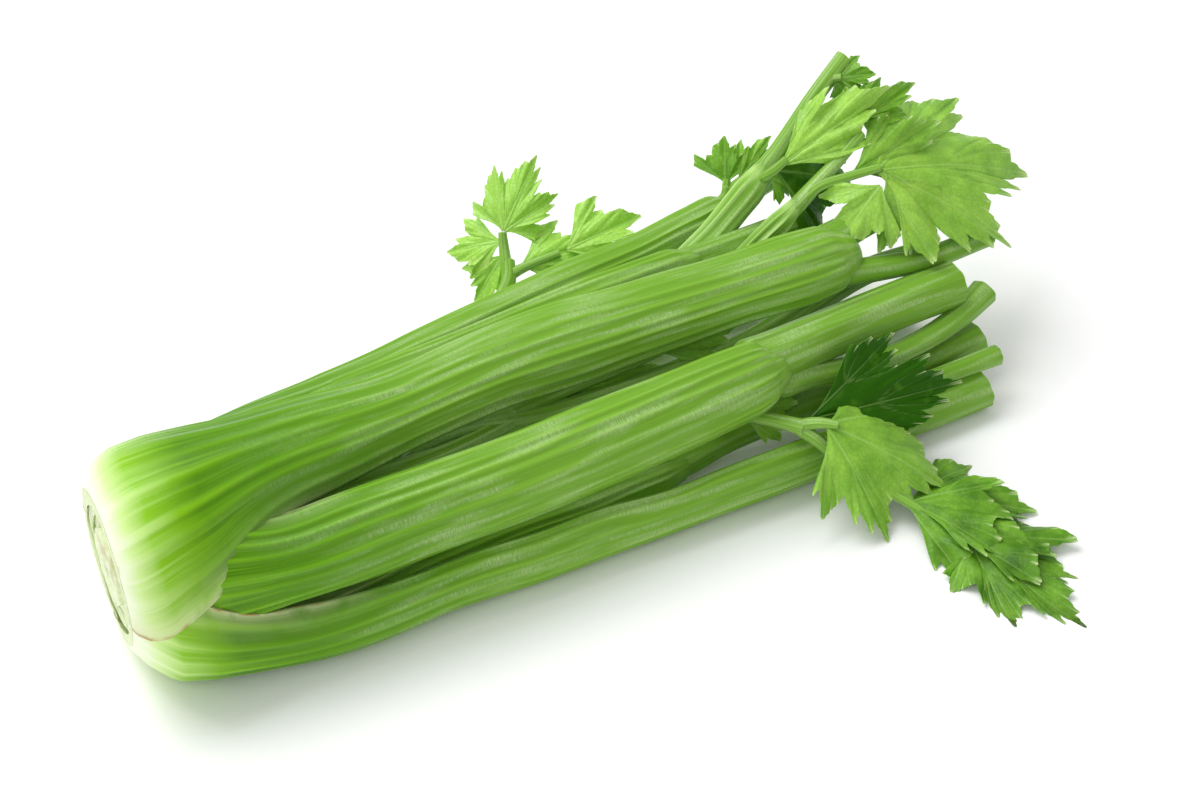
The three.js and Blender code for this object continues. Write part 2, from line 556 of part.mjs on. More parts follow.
// Gives a curved sheet its thickness, with both sides split into the same triangles.
function blade(middle, faces, rim, thickness) {
  const normals = middle.map(() => new THREE.Vector3());
  faces.forEach((corners) => {
    const [a, b, c] = corners.map((i) => middle[i]);
    const normal = new THREE.Vector3().crossVectors(b.clone().sub(a), c.clone().sub(a));
    corners.forEach((i) => normals[i].add(normal));
  });
  normals.forEach((normal) => normal.normalize());
  const offset = (side) => middle.map((p, i) => p.clone().addScaledVector(normals[i], side));
  const n = middle.length;
  const triangles = [...faces, ...faces.map(([a, b, c]) => [c + n, b + n, a + n])];
  rim.forEach((a, i) => {
    const b = rim[(i + 1) % rim.length];
    triangles.push([a, a + n, b], [b, a + n, b + n]);
  });
  return solidFrom([...offset(thickness / 2), ...offset(-thickness / 2)], triangles);
}

function crownBody(grow) {
  const outline = CROWN_PROFILE.map(([r, x], i) => {
    const past = i === 0 || i === 1 ? -grow : grow;
    return new THREE.Vector2(r && r + grow, x + past);
  });
  const turned = new THREE.LatheGeometry(outline, CROWN_SIDES).rotateZ(-Math.PI / 2);
  return solidOf(turned.translate(0, 0, AXIS_HEIGHT));
}

const joined = (solids) => solids.reduce((sum, one) => sum.add(one));
const largest = (solid) => solid.decompose().sort((a, b) => b.volume() - a.volume())[0];
const stalkWhole = (spec, grow) =>
  joined([stalkBody(spec, grow), ...spec.stems.map((rows) => stemBody(rows, STEM_SIDES, grow))]);
const sprayWhole = (spec, grow) =>
  joined([
    ...spec.stems.map((rows) => stemBody(rows, TWIG_SIDES, grow)),
    ...spec.leaflets.map((one) => leafletBody(one, grow)),
  ]);

const group = new THREE.Group();
group.name = "celery_head";
const table = new THREE.BoxGeometry(TABLE_SIZE, TABLE_SIZE, TABLE_SIZE).translate(0, 0, -TABLE_SIZE / 2);
const room = [solidOf(table)];

// Adds a piece: what it would share with the table and with the pieces before it is cut away.
function addPiece(name, make, look) {
  const cut = room.reduce((left, taken) => left.subtract(taken), make(0));
  const whole = largest(cut.simplify(SMOOTHED));
  const geometry = geometryOf(largest(solidOf(geometryOf(whole))));
  geometry.computeVertexNormals();
  const mesh = new THREE.Mesh(geometry, new THREE.MeshStandardMaterial(LOOKS[look]));
  mesh.name = name;
  group.add(mesh);
  room.push(make(CLEARANCE));
}

addPiece("crown", crownBody, "crown");
STALKS.forEach((spec) => addPiece(spec.name, (grow) => stalkWhole(spec, grow), spec.look ?? "stalk"));
SPRAYS.forEach((spec) => addPiece(spec.name, (grow) => sprayWhole(spec, grow), "leaf"));

// The origin is on the table, under the middle of everything.
const middle = new THREE.Box3().setFromObject(group).getCenter(new THREE.Vector3());
group.position.set(-middle.x, -middle.y, 0);

export default group;
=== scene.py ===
"""A head of celery on a plain pale floor: ribbed stalks round a cut root end, and toothed leaves.
Everything is made here from the sizes and routes below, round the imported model."""

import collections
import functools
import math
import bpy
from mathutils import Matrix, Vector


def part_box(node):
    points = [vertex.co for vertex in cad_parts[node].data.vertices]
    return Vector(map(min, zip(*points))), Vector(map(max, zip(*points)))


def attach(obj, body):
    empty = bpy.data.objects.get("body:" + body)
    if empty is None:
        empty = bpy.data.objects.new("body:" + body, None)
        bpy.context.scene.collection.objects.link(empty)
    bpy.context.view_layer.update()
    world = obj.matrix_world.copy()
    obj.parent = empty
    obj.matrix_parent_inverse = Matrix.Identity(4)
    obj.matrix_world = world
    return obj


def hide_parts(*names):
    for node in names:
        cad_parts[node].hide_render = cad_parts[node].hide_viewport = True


bl_info = {
    "name": "Celery Head",
    "version": (1, 0, 0),
    "blender": (4, 5, 0),
    "location": "View3D > Sidebar > Celery",
    "description": "Makes a cut head of celery with its stalks, leaves and a plain studio",
    "category": "Add Mesh",
}

import bmesh
import bpy
import numpy as np
from mathutils import Vector

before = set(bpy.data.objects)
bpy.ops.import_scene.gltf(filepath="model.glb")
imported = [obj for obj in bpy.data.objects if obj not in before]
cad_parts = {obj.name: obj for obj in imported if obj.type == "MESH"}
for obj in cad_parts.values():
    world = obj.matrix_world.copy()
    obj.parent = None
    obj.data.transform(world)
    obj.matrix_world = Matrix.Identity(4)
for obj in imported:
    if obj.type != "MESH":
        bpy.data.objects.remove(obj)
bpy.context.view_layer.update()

# Sizes are in millimetres from here on, unless a comment says otherwise.
MM = 0.001  # metres
SEED = 11
FLOOR_GAP = 0.1  # nothing hangs lower over the table than this
FLOOR_BLEND = 0.3  # and what nears it flattens within about this
SHARP_ANGLE = math.radians(50)
ANY_START = 6  # a wave starts anywhere up to this angle, about a full turn

# The root end's outside and the stalks' broad bases.
AXIS_HEIGHT = 43  # the head's middle line over the table
# The head's outside: distance from the cut and radius.
HEAD_PROFILE = [[0, 31], [5, 37.5], [12, 41.5], [26, 43.5], [52, 43], [80, 42]]
SHEATH = 6.5  # thickness of a base
BASE_END = 74  # where a stalk has left the others
LEAN_END = 14  # where a base leans by its full amount
INNER_TUCK = 12  # a stalk tucked deeper than this starts past the cut,
INNER_START = 3  # by this much
CROWN_SLOPE = 0.9  # and by this share of what it is tucked deeper
WRAP_LOSS = 0.35  # share of its wrap that a base has lost where it ends
BASE_RIB_SHARE = 0.3  # share of the ribs' height at the cut
RIB_FADE = 45  # length over which they reach their full height

# The knuckle that a stalk ends in, and its shoulder down to its stems.
KNUCKLE_FADE = 6  # length before it over which the ribs sink
KNUCKLE_RIB = 0.1  # share of their height that is left
KNUCKLE_ROUND = 4.5  # half the length over which it swells
KNUCKLE_SWELL = 0.5  # how far it swells
KNUCKLE_STEPS = [-0.9, -0.6, -0.3, 0]  # its own rings, as shares of that half length
KNUCKLE_PALE = 0.8  # how pale its ring is
RING_SHIFT = 2  # how far that ring is past the knuckle
RING_REACH = 3  # and how far it fades to each side
NECK = 13  # length before the last row over which a stalk begins to narrow
SHOULDER = 11  # and past that row, down to its stems
# Share of both lengths together, and the section's size there. It ends round, against the stems.
END_SIZES = [[0, 1], [0.2, 0.985], [0.4, 0.95], [0.55, 0.885], [0.7, 0.79], [0.82, 0.69], [0.92, 0.58],
             [1, 0.42]]
SHOULDER_STEPS = [0.1, 0.25, 0.4, 0.55, 0.7, 0.85, 0.95, 1]

# A stalk's long edges, and how a broad base lies on the stalks inside it.
EDGE = 2.2  # thickness of the two edges
EDGE_SHARE = 0.28  # or this share of a slim stalk's radius
EDGE_POINTS = 3  # points round each edge
EDGE_MARK = 0.05  # width of the marked margin, as a share of the back
EDGE_REACH = 0.08  # share of the back that bends in towards the stalk below
LIP = 1.2  # how far a broad base's margin stands over the stalk that it lies on
LAP_END = 90  # where margins no longer lie on other stalks
LAP_PULL = 5  # furthest that a margin bends in
LAP_PUSH = 6  # furthest that a base is pushed out over another
PUSH_END = 85  # and where that has ended
LAP_SPREAD = 4  # points that a push reaches to each side
LAP_SMOOTH = 9  # points over which the laying on is evened
LAP_RINGS = 3  # and rings to each side

# Rings, ribs and waves of a stalk.
STATION_STEP = 3  # distance between rings
TANGENT_REACH = 4  # a ring stands square to its route, taken this far to each side
CUT_ROUND = 1.2  # the cut edge is rounded by this much,
CUT_ROUND_RINGS = 3  # in this many rings
CUT_STAGGER = 0.25  # each next stalk is cut this much further back
CUT_ROWS = 5  # rows of the cut face from its back to its front
CUT_SINK = 0.35  # about how far it is sunk:
CUT_ROUGH = (0.6, 0.8)  # at least this share of that, and by chance up to this much more
CUT_INSET = 0.02  # it is drawn in by this share of its size,
CUT_OUT = 0.15  # and stands out this far
RIB_POINTS = 9  # points across one rib
RIB_SHIFT = 0.26  # how far a rib stands from its even place, as a share of their spacing
RIB_WIDTH = 0.17  # half the width of its crest, as a share of that spacing
RIB_NARROW = 0.55  # share of a rib's height in its narrow crest
RIB_RANGE = (0.45, 1.3)  # lowest and highest rib of a stalk, as shares of the rib height
WAVE_HEIGHT = 0.5  # how far a stalk's surface waves along its length
WAVE_THIN = 0.5  # and its thickness, as a share of that
WOBBLE_WAVES = (45, 160)  # shortest and longest of these waves,
WOBBLE_TERMS = 5  # which are sums of this many
MARGIN_WAVE = 2  # how far a sheath's thin margin waves
MARGIN_PACE = 1.6  # how much shorter its waves are

# Cut stems and twigs.
STEM_STEPS = 8  # rings from one row of a stem to the next
STEM_START = [0.5, 0.75, 0.88, 0.96]  # size of a stem's first rings, rounded off inside its stalk
STEM_LINES = 7  # paler lines along it,
STEM_CREST = 0.32  # and how pale they are
STEM_FLUTE = 0.035  # height of a stem's ribs, as a share of its radius
TWIG_FLUTE = 0.06
FLUTES = (6, 9)  # fewest ribs, and one more than the most
TWIG_SIDES = 20
CUT_SLANT = 0.22  # steepest slant of a cut
# Share of the radius and rise of each ring of a cut end: crisp at its rim, a little sunk in its middle.
CUT_RINGS = [[1, 0], [0.975, 0.12], [0.9, 0.1], [0.72, -0.15], [0.5, -0.4], [0.25, -0.5], [0.05, -0.5]]

# The root end: radius and distance from the cut, from the middle of the cut face outwards and back inside.
CROWN_PROFILE = [[0.5, 0], [4, 0.1], [8, 0], [12, 0.1], [14.6, 0.2], [15, 0.8], [15, 2.2], [20, 2.4],
                 [26, 2.6], [31, 2.8], [32.5, 3.6], [33, 7], [15, 9], [11, 13], [5, 20], [0.5, 22]]
CROWN_SIDES = 96
CROWN_BUMP = 0.15  # how rough its face is,
CROWN_FACE = 4  # which reaches this far from the cut
CROWN_LOBES = [[5, 0.03, 1], [9, 0.02, 0]]  # number, share of the radius and start of its waves round it

# Leaflets.
LOBE_FAN = {3: 42, 5: 36}  # degrees from one lobe to the next
LOBE_REACH = [1, 0.84, 0.6]  # the middle lobe and those beside it, as shares of the leaflet's length
LOBE_NOTCH = 0.64  # share of a lobe's length that the notch beside it leaves
TOOTH_NOTCH = 0.88  # and of a tooth's
TOOTH_DROP = {1: 0.17, 2: 0.11}  # how much shorter each next tooth is, by the teeth to a lobe's side
TOOTH_BOW = 0.93  # how far a tooth's sides are bowed; the rest is its sharp point
SIDE_TOOTH = 0.12  # height of the small tooth down a tooth's side, as a share of the tooth
# Length of leaflet for each point down a tooth's side and each ring of the blade, the fewest and the most.
TOOTH_POINTS, BLADE_RINGS = (7, 5, 8), (2.5, 10, 27)
FIRST_RING = 0.03  # share of the leaflet's length
RING_CROWD = 0.9  # below 1, rings stand closer near the rim
HUB_NARROW = 0.35  # how much narrower than its fan a leaflet's wedge is at the hub
BLADE_TAPER = (1.15, 0.5)  # thickness at the hub and what is lost to the rim, as shares of the blade's
POINT_REACH = 0.1  # outer share of a tooth that is its whitish point
LOBE_LIFT = 0.065  # how far a lobe stands up or down, as a share of the leaflet's length
LIFT_PLACES = 5  # places round the fan with a lift of their own
RIPPLES = (9, 14)  # fewest and most waves of a rim's ripple, for a full circle
RIPPLE_LENGTH = 60  # a leaflet shorter than this ripples less
VEIN_REACH = 0.97  # share of a tooth's length that its vein runs to
VEIN_FORK = 0.42  # where side veins leave the main vein
VEIN_BEND = 0.06  # how far a side vein bows, as a share of its length
VEIN_WIDTH = 0.4
VEIN_TAPER = 1.5  # share of that width at a vein's root; 1 less at its tip
SIDE_VEIN = (0.6, 0.7)  # a side vein's width and depth beside the main vein's
VEIN_VALLEY = 1.8  # width of the fold that a vein lies in,
VEIN_SINK = 1.0  # its depth,
VEIN_RIB = 0.16  # and how far the vein stands up in it
VEIN_THICK = 0.5  # share by which it thickens the blade
PUFF = 0.9  # how far the blade rises between its veins,
PUFF_WAVES = (40, 34)  # in waves along and across it, in radians over a leaflet's length,
PUFF_WANDER = (3, 25)  # which wander by this angle, in waves across it
PUFF_END = 1.05  # share of the leaflet where it has sunk again

GREENING = 160  # distance along a stalk over which its skin goes from root white to its own green,
GREENING_UNEVEN = 5  # give or take this much

# The studio, in metres.
FLOOR_SIZE = 12.0
WORLD_STRENGTH = 0.53
LAMP_AIM = (0.0, 0.0, 0.03)
# Name, place, size and power in watts.
LAMPS = [
    ["key", (-0.35, 0.6, 1.3), (1.1, 1.0), 16.5],
    ["fill", (-0.9, -0.9, 0.9), (1.2, 1.2), 5],
]
CAMERA_AZIMUTH = -25
CAMERA_ELEVATION = 40
CAMERA_WIDTH = 28  # degrees across the picture
CAMERA_DISTANCE = 960  # millimetres, as the target is
CAMERA_TARGET = [206.93, 18.86, 35.0]  # in the head's own frame

# Millimetres, in the head's own frame: x from the cut, y to the back, z up from the table. A stalk has the
# angle of its seat round the head, its tuck under the head's outside, the degrees its base wraps to each
# side, its ribs, how far its base leans to the back and up, and its route: x, y, z, radius of the back, half
# its angle, thickness, facing. The last row is its knuckle. Stems are rows of x, y, z, radius.
STALKS = [
    {"name": "stalk_top", "seat": 100, "tuck": 0, "wrap": 88, "ribs": 10, "route": [
        [78, 9, 60.5, 21, 84, 9, 108], [122, 16, 60, 17.6, 84, 10, 112], [168, 25, 60, 17, 84, 10.5, 116],
        [215, 28, 60, 17, 84, 10.5, 118], [262, 30, 60, 16.5, 84, 11, 120],
        [300, 31.5, 60, 15.8, 84, 12, 120], [319, 33.3, 60, 14.5, 84, 13, 120],
    ], "stems": [
        [[315, 27, 57, 6.5], [331, 27, 54.5, 5.4], [361, 26, 52, 4.8], [394, 32, 50, 5]],
        [[313, 37, 64, 8.5], [330, 42, 65, 6.8], [352, 48, 64, 5.6], [366, 53, 63, 5.4]],
    ]},
    {"name": "stalk_front", "seat": 214, "tuck": 0.8, "wrap": 68, "ribs": 8, "lean": [-4, -4], "route": [
        [78, -29.5, 15.4, 15, 88, 8.5, 208], [104, -28, 14.8, 14.8, 88, 9, 206],
        [140, -26.5, 14.5, 14.8, 88, 9, 204], [184, -24.8, 13.9, 14.2, 88, 9, 204],
        [228, -23, 13.3, 13.6, 88, 9, 203], [275, -20, 12.7, 13, 88, 9.5, 202],
        [300, -18, 11.8, 11.8, 88, 10.5, 202],
    ], "stems": [
        [[295, -19, 11, 9.8], [312, -17.5, 10.4, 9], [340, -15.5, 9.8, 9], [368, -12.5, 9.4, 9.2]],
        [[296, -17, 18, 5], [315, -15, 22, 4], [345, -12.5, 22, 3.8], [376, -10, 21.5, 4.4]],
    ]},
    {"name": "stalk_rear", "seat": 328, "tuck": 0.8, "wrap": 62, "ribs": 6, "lean": [3, -3], "route": [
        [78, 35, 14, 13.6, 88, 8.5, 332], [104, 41, 12.4, 12.4, 88, 9, 336],
        [150, 52, 11.8, 12, 88, 9, 338], [205, 64, 11.7, 12, 88, 9, 340], [255, 76, 11.6, 11.8, 88, 9, 342],
        [290, 84, 11.2, 10.8, 88, 10, 342],
    ], "stems": [
        [[284, 83, 11, 8.6], [300, 87, 10.5, 7.6], [328, 91, 9.5, 7.2], [362, 92, 8.5, 7.4]],
        [[284, 79, 16, 5], [302, 79, 20, 4], [328, 76, 23, 3.6], [352, 74, 25, 3.8]],
    ]},
    {"name": "stalk_middle", "seat": 158, "tuck": 7.2, "wrap": 62, "ribs": 9, "route": [
        [78, -23, 45, 18, 82, 9, 156], [107, -21, 45, 17, 84, 10, 154], [148, -19, 45, 17, 84, 10.5, 152],
        [192, -14, 45, 17, 84, 10.5, 150], [230, -9.5, 45, 16.5, 84, 11, 148],
        [256, -5.5, 45, 15.6, 84, 12, 148], [268, -3, 45, 14, 84, 12.5, 148],
    ], "stems": [
        [[259, -2, 46.5, 13], [277, 1, 47, 10.6], [330, 10, 45.5, 9.8], [368, 16.5, 43, 10]],
        [[270, -7, 39, 6.5], [288, -6, 37.5, 5], [318, -6, 35, 4.5], [342, -2, 34, 4.6], [366, 6, 34, 5],
         [383, 14, 36, 6]],
    ]},
    {"name": "stalk_back", "seat": 42, "tuck": 7.2, "wrap": 56, "ribs": 7, "route": [
        [78, 33, 54, 14, 84, 8, 62], [104, 42, 52, 12, 86, 8, 72], [145, 55, 50, 11.2, 86, 8.5, 80],
        [200, 69, 49, 11, 86, 8.5, 86], [250, 81, 47, 10.8, 86, 8.5, 88], [286, 92, 46, 10.2, 86, 9, 90],
        [302, 97, 46, 9, 86, 9, 90],
    ], "stems": [
        [[296, 96, 47, 6.5], [310, 100, 48.5, 4.8], [328, 106, 50, 4.4], [344, 110, 50, 4.4]],
        [[298, 96, 50, 4], [304, 99, 53, 3], [306, 101, 57, 2.4]],
    ]},
    {"name": "stalk_low", "seat": 262, "tuck": 8, "wrap": 46, "ribs": 7, "route": [
        [82, -13, 15, 12.6, 84, 8, 250], [112, -9, 12, 11.4, 86, 8.5, 236],
        [152, -7.5, 11.4, 11.2, 86, 8.5, 218], [192, -7.5, 11.2, 11, 86, 8.5, 208],
        [214, -6.5, 11, 10.6, 86, 9, 204], [225, -5.5, 11, 9.4, 86, 9, 204],
    ], "stems": [
        [[218, -5, 11, 8.4], [234, -3, 11, 7.2], [260, 2, 12, 6.8], [300, 3, 15, 6.6], [340, 1, 18, 6.6],
         [377, 7, 19, 7]],
    ]},
    {"name": "stalk_under", "seat": 300, "tuck": 8.6, "wrap": 36, "ribs": 5, "route": [
        [82, 13, 15, 12.5, 84, 8, 292], [115, 20, 12, 11.6, 86, 8.5, 282],
        [165, 29, 11.6, 11.4, 86, 8.5, 274], [215, 37, 11.4, 11.2, 86, 8.5, 272],
        [262, 45, 11.4, 11, 86, 8.5, 270], [288, 49, 11.2, 9.8, 86, 9, 270],
    ], "stems": [
        [[281, 48, 11, 7.6], [300, 51, 10.6, 6.4], [330, 51, 10, 6], [370, 47, 9, 6]],
    ]},
    {"name": "stalk_inner", "seat": 76, "tuck": 15, "wrap": 36, "ribs": 5, "route": [
        [90, 32, 55, 10, 82, 7, 74], [140, 41, 57, 9, 84, 7.5, 88], [190, 48, 58, 8.8, 84, 7.5, 92],
        [235, 54, 58, 8.8, 84, 8, 94], [262, 57, 58, 8.4, 84, 8, 94],
    ], "stems": [
        [[254, 57, 58, 7.2], [272, 59, 58, 6.2], [300, 62, 58, 6], [326, 66, 57, 6]],
    ]},
    {"name": "stalk_slim", "seat": 6, "tuck": 17, "wrap": 38, "ribs": 4, "route": [
        [84, 34, 37, 7, 82, 6, 10], [115, 50, 35, 5.6, 84, 6, 20], [155, 68, 33.5, 5, 84, 6, 40],
        [182, 81, 36, 4.8, 84, 6, 60],
    ], "stems": [
        [[178, 79, 36, 4], [190, 86, 38.5, 3.4], [200, 95, 43, 3.2], [204, 104, 47, 3]],
    ]},
    {"name": "heart_tall", "seat": 20, "tuck": 21, "wrap": 60, "ribs": 4, "route": [
        [84, 20, 40, 8, 80, 6, 40], [140, 34, 36, 6.8, 84, 6, 60], [204, 50, 34, 6.6, 84, 6, 80],
        [253, 63, 41, 6.6, 84, 6.5, 96], [283, 70, 58, 6.8, 84, 7, 110], [306, 76, 76, 6.8, 84, 7.5, 118],
    ], "stems": [
        [[303, 75, 74, 5.6], [317, 79.5, 85, 4], [337, 87, 101.5, 3.7], [354, 92.5, 114, 3.9]],
    ]},
    {"name": "heart_mid", "seat": 140, "tuck": 21, "wrap": 60, "ribs": 4, "route": [
        [84, 4, 40, 7.5, 80, 6, 120], [140, 12, 34, 6.2, 84, 6, 100], [200, 28, 33, 6, 84, 6, 90],
        [256, 46, 37, 5.6, 84, 6, 100], [290, 52, 58, 5, 84, 6, 120], [310, 55, 72, 4.6, 84, 6, 128],
    ], "stems": [
        [[307, 54, 70, 4], [321, 57, 79, 3.4], [335, 60, 88, 2.8], [347, 63, 96, 2.2]],
    ]},
    {"name": "heart_front", "seat": 236, "tuck": 21, "wrap": 50, "ribs": 4, "route": [
        [84, 2, 26, 7, 80, 6, 230], [130, 6, 27, 5.4, 84, 5.5, 200], [180, 9, 27, 5, 84, 5.5, 170],
        [222, 9, 25.5, 4.6, 84, 5.5, 150],
    ], "stems": [
        [[218, 9, 25.5, 4], [240, 6, 25.5, 3.2], [254, -4, 28.5, 2.9], [266, -18, 31.5, 2.8],
         [274, -28, 32.5, 3.4]],
    ]},
    {"name": "heart_small", "seat": 330, "tuck": 22, "wrap": 50, "ribs": 3, "route": [
        [84, 12, 26, 6.5, 80, 6, 330], [130, 20, 30, 5.2, 84, 5.5, 20], [170, 22, 37, 4.8, 84, 5.5, 100],
    ], "stems": [
        [[166, 22, 37, 4], [190, 22, 42, 3], [214, 23, 44, 2.4], [236, 24, 46, 1.8]],
        [[160, 22, 36, 4], [185, 17, 37, 4.4], [250, 19, 37.5, 5.2], [284, 24.6, 38, 5.6],
         [335, 40, 41, 5.4], [366, 43, 41, 5.2]],
    ]},
]

# A leaflet has its hub, its tip, the way its upper side looks, lobes, breadth for its length, bend along and
# across, how light it is from 0, dark, to 1, young, the share of a lobe that a notch beside it leaves, and
# the teeth to each side of a lobe.
Leaflet = collections.namedtuple(
    "Leaflet", "hub tip face lobes breadth droop cup tone notch teeth", defaults=(LOBE_NOTCH, 1)
)

# A spray of leaves: its stems and its leaflets, in the same frame.
SPRAYS = [
    {"name": "leaf_front", "stems": [
        [[270, -23, 32, 2.6], [277, -32, 29, 2.6], [289, -44, 17, 2.1], [304, -64, 9.5, 1.8],
         [316, -90, 6, 1.5], [322, -108, 4.5, 1.2]],
        [[272, -26, 33, 2.6], [279, -31, 35.5, 2.2], [286, -36, 35.5, 1.6]],
    ], "leaflets": [
        [[277, -26, 34], [345, -38, 39], [-0.1, -0.75, 0.6], 3, 0.66, 0.3, 0.3, 0, 0.86, 2],
        [[281, -33, 36], [326, -66, 17], [-0.1, -0.3, 0.95], 5, 1.1, 0.4, 0.5, 0.5, 0.76, 2],
        [[303, -62, 10.5], [353, -80, 10], [0, 0.1, 1], 3, 1.05, 0.2, 0.3, 0.3, 0.8, 2],
        [[302, -62, 10.5], [336, -102, 11], [-0.2, -0.2, 1], 3, 0.8, 0.3, 0.4, 0.35, 0.8],
        [[313, -84, 7.5], [356, -104, 6], [0, 0.15, 1], 3, 0.9, 0.2, 0.2, 0.25, 0.74],
        [[316, -88, 6.5], [335, -143, 2.2], [0, 0, 1], 5, 0.66, 0.1, 0.2, 0.3, 0.8, 2],
        [[256, -6, 29], [284, -9, 28], [-0.3, -0.7, 0.6], 3, 0.9, 0.3, 0.4, 0.5],
    ]},
    {"name": "leaf_crest", "stems": [
        [[314, 55, 74, 2.6], [323, 55, 81, 2.2], [335, 52, 84.5, 2], [350, 48, 88, 1.8]],
    ], "leaflets": [
        [[346, 48, 87], [433, 43, 79], [-0.2, -0.45, 0.9], 5, 0.84, 0.5, 0.5, 0.62, 0.7, 2],
        [[337, 52, 85.5], [384, 54, 99], [-0.3, -0.75, 0.55], 3, 0.55, 0.4, 0.8, 0.5, 0.8],
        [[350, 46, 87], [361, 15, 58], [0.05, -0.75, 0.65], 3, 0.75, 0.5, 0.5, 0.58],
        [[345, 41, 85], [322, 32, 71], [-0.3, -0.6, 0.75], 3, 1.2, 0.5, 0.4, 0.66],
    ]},
    {"name": "leaf_tall", "stems": [
        [[306, 72, 79, 2.6], [309, 69, 84, 2], [316, 68, 90, 1.6]],
        [[345, 89, 108, 2.4], [350, 85, 110, 1.5]],
    ], "leaflets": [
        [[311, 68, 86], [359, 63, 119], [-0.45, -0.6, 0.6], 3, 0.46, 0.5, 0.9, 0.7, 0.86],
        [[308, 69, 82], [322, 62, 74], [-0.3, -0.6, 0.7], 3, 0.8, 0.9, 0.5, 0.5],
        [[311, 69, 84], [353, 68, 69], [-0.3, -0.65, 0.7], 3, 1.1, 0.3, 0.4, 0.15, 0.84],
        [[348, 86, 109], [362, 79, 112], [-0.3, -0.7, 0.6], 3, 1, 0.4, 0.4, 0.4],
        [[347, 87, 108], [352, 80, 100], [-0.3, -0.6, 0.6], 3, 0.9, 0.4, 0.4, 0.5],
    ]},
    {"name": "leaf_mid", "stems": [
        [[342, 62, 93, 2.2], [349, 68, 100, 1.5]],
    ], "leaflets": [
        [[347, 67, 99], [378, 71, 109], [-0.3, -0.7, 0.6], 3, 0.55, 0.3, 0.5, 0.4],
        [[346, 67, 99], [363, 78, 112], [-0.3, -0.6, 0.7], 3, 0.8, 0.4, 0.4, 0.45],
    ]},
    {"name": "leaf_back", "stems": [
        [[305, 101, 55, 2.2], [307, 104, 60, 1.5]],
        [[306, 101, 55, 2.2], [313, 101, 60, 1.4]],
    ], "leaflets": [
        [[306, 103, 57], [309, 111, 76], [-0.3, -0.7, 0.5], 3, 1.15, 0.4, 0.3, 0.45],
        [[311, 101, 58], [328, 104, 75.5], [-0.3, -0.7, 0.5], 3, 0.7, 0.4, 0.4, 0.5],
    ]},
    {"name": "leaf_slim", "stems": [
        [[202, 101, 45, 2.8], [204, 108, 51, 2.2], [205, 112, 58, 1.7]],
        [[200, 98, 44, 2.6], [210, 98, 47, 2], [226, 95, 52, 1.5]],
    ], "leaflets": [
        [[205, 111, 57], [226, 122, 84], [-0.35, -0.75, 0.5], 5, 0.85, 0.3, 0.5, 1, 0.64, 2],
        [[204, 110, 54], [181, 120, 50], [-0.1, -0.6, 0.75], 3, 0.95, 0.5, 0.4, 0.85],
        [[203, 106, 50], [186, 100, 35], [-0.45, -0.6, 0.5], 3, 0.95, 0.3, 0.4, 0.7],
        [[207, 99, 47], [239, 91, 57], [-0.3, -0.6, 0.7], 3, 0.8, 0.6, 0.7, 0.75],
        [[226, 95, 52], [263, 96, 60], [-0.3, -0.6, 0.7], 3, 0.75, 0.2, 0.4, 0.85],
    ]},
    {"name": "leaf_small", "stems": [
        [[210, 23, 44, 2], [222, 23, 46, 1.5], [240, 23, 47, 1.2]],
    ], "leaflets": [
        [[196, 21, 43], [236, 20, 42], [-0.3, -0.7, 0.6], 3, 0.5, 0.3, 0.7, 0.5],
        [[236, 23, 46], [270, 18, 54], [-0.3, -0.7, 0.6], 3, 0.7, 0.3, 0.5, 0.5],
    ]},
]


def smoothstep(t):
    t = np.clip(t, 0, 1)
    return t * t * (3 - 2 * t)


def mixed_row(rows, i, t):
    """The row a share t of the way from row i to the next, on a curve through every row."""
    b, d = rows[i], rows[i + 1]
    if t < 0:
        return b + (d - b) * t
    a = rows[i - 1] if i > 0 else 2 * b - d
    e = rows[i + 2] if i + 2 < len(rows) else 2 * d - b
    slope_in, slope_out = (d - a) / 2, (e - b) / 2
    cubic = 2 * b - 2 * d + slope_in + slope_out
    square = -3 * b + 3 * d - 2 * slope_in - slope_out
    return ((cubic * t + square) * t + slope_in) * t + b


def row_at(rows, x):
    i = int(np.clip(np.searchsorted(rows[:, 0], x, side="right") - 1, 0, len(rows) - 2))
    return mixed_row(rows, i, (x - rows[i, 0]) / (rows[i + 1, 0] - rows[i, 0]))


def direction(start, end):
    way = end[:3] - start[:3]
    return way / np.linalg.norm(way)


def placed(section, centre, tangent, facing):
    """Lays [outward, sideways] points round centre, square to tangent, with outward at facing degrees."""
    outward = np.array([0, np.cos(np.radians(facing)), np.sin(np.radians(facing))])
    outward -= tangent * (outward @ tangent)
    outward /= np.linalg.norm(outward)
    sideways = np.cross(tangent, outward)
    return centre + section[:, :1] * outward + section[:, 1:] * sideways


def wobble(rng, count):
    """Smooth seeded curves of about -1 to 1, as functions of distance in millimetres."""
    waves = rng.uniform(*WOBBLE_WAVES, (count, WOBBLE_TERMS))
    starts = rng.uniform(0, 2 * np.pi, (count, WOBBLE_TERMS))
    return lambda x: np.sin(2 * np.pi * x / waves + starts).sum(1) / np.sqrt(WOBBLE_TERMS)


def full_circle(n):
    return np.linspace(0, 2 * np.pi, n, endpoint=False)


def grid_faces(rows, n):
    """Quads between the points of a sheet of rows of n points each."""
    i = (np.arange(rows - 1)[:, None] * n + np.arange(n - 1)).ravel()
    return np.column_stack([i, i + n, i + n + 1, i + 1])


def tube_faces(count, n):
    """Quads between count rings of n points each, facing outwards."""
    row = np.arange(count - 1)[:, None] * n
    a, b = (row + np.arange(n)).ravel(), (row + (np.arange(n) + 1) % n).ravel()
    return np.column_stack([a, b, b + n, a + n]).tolist()


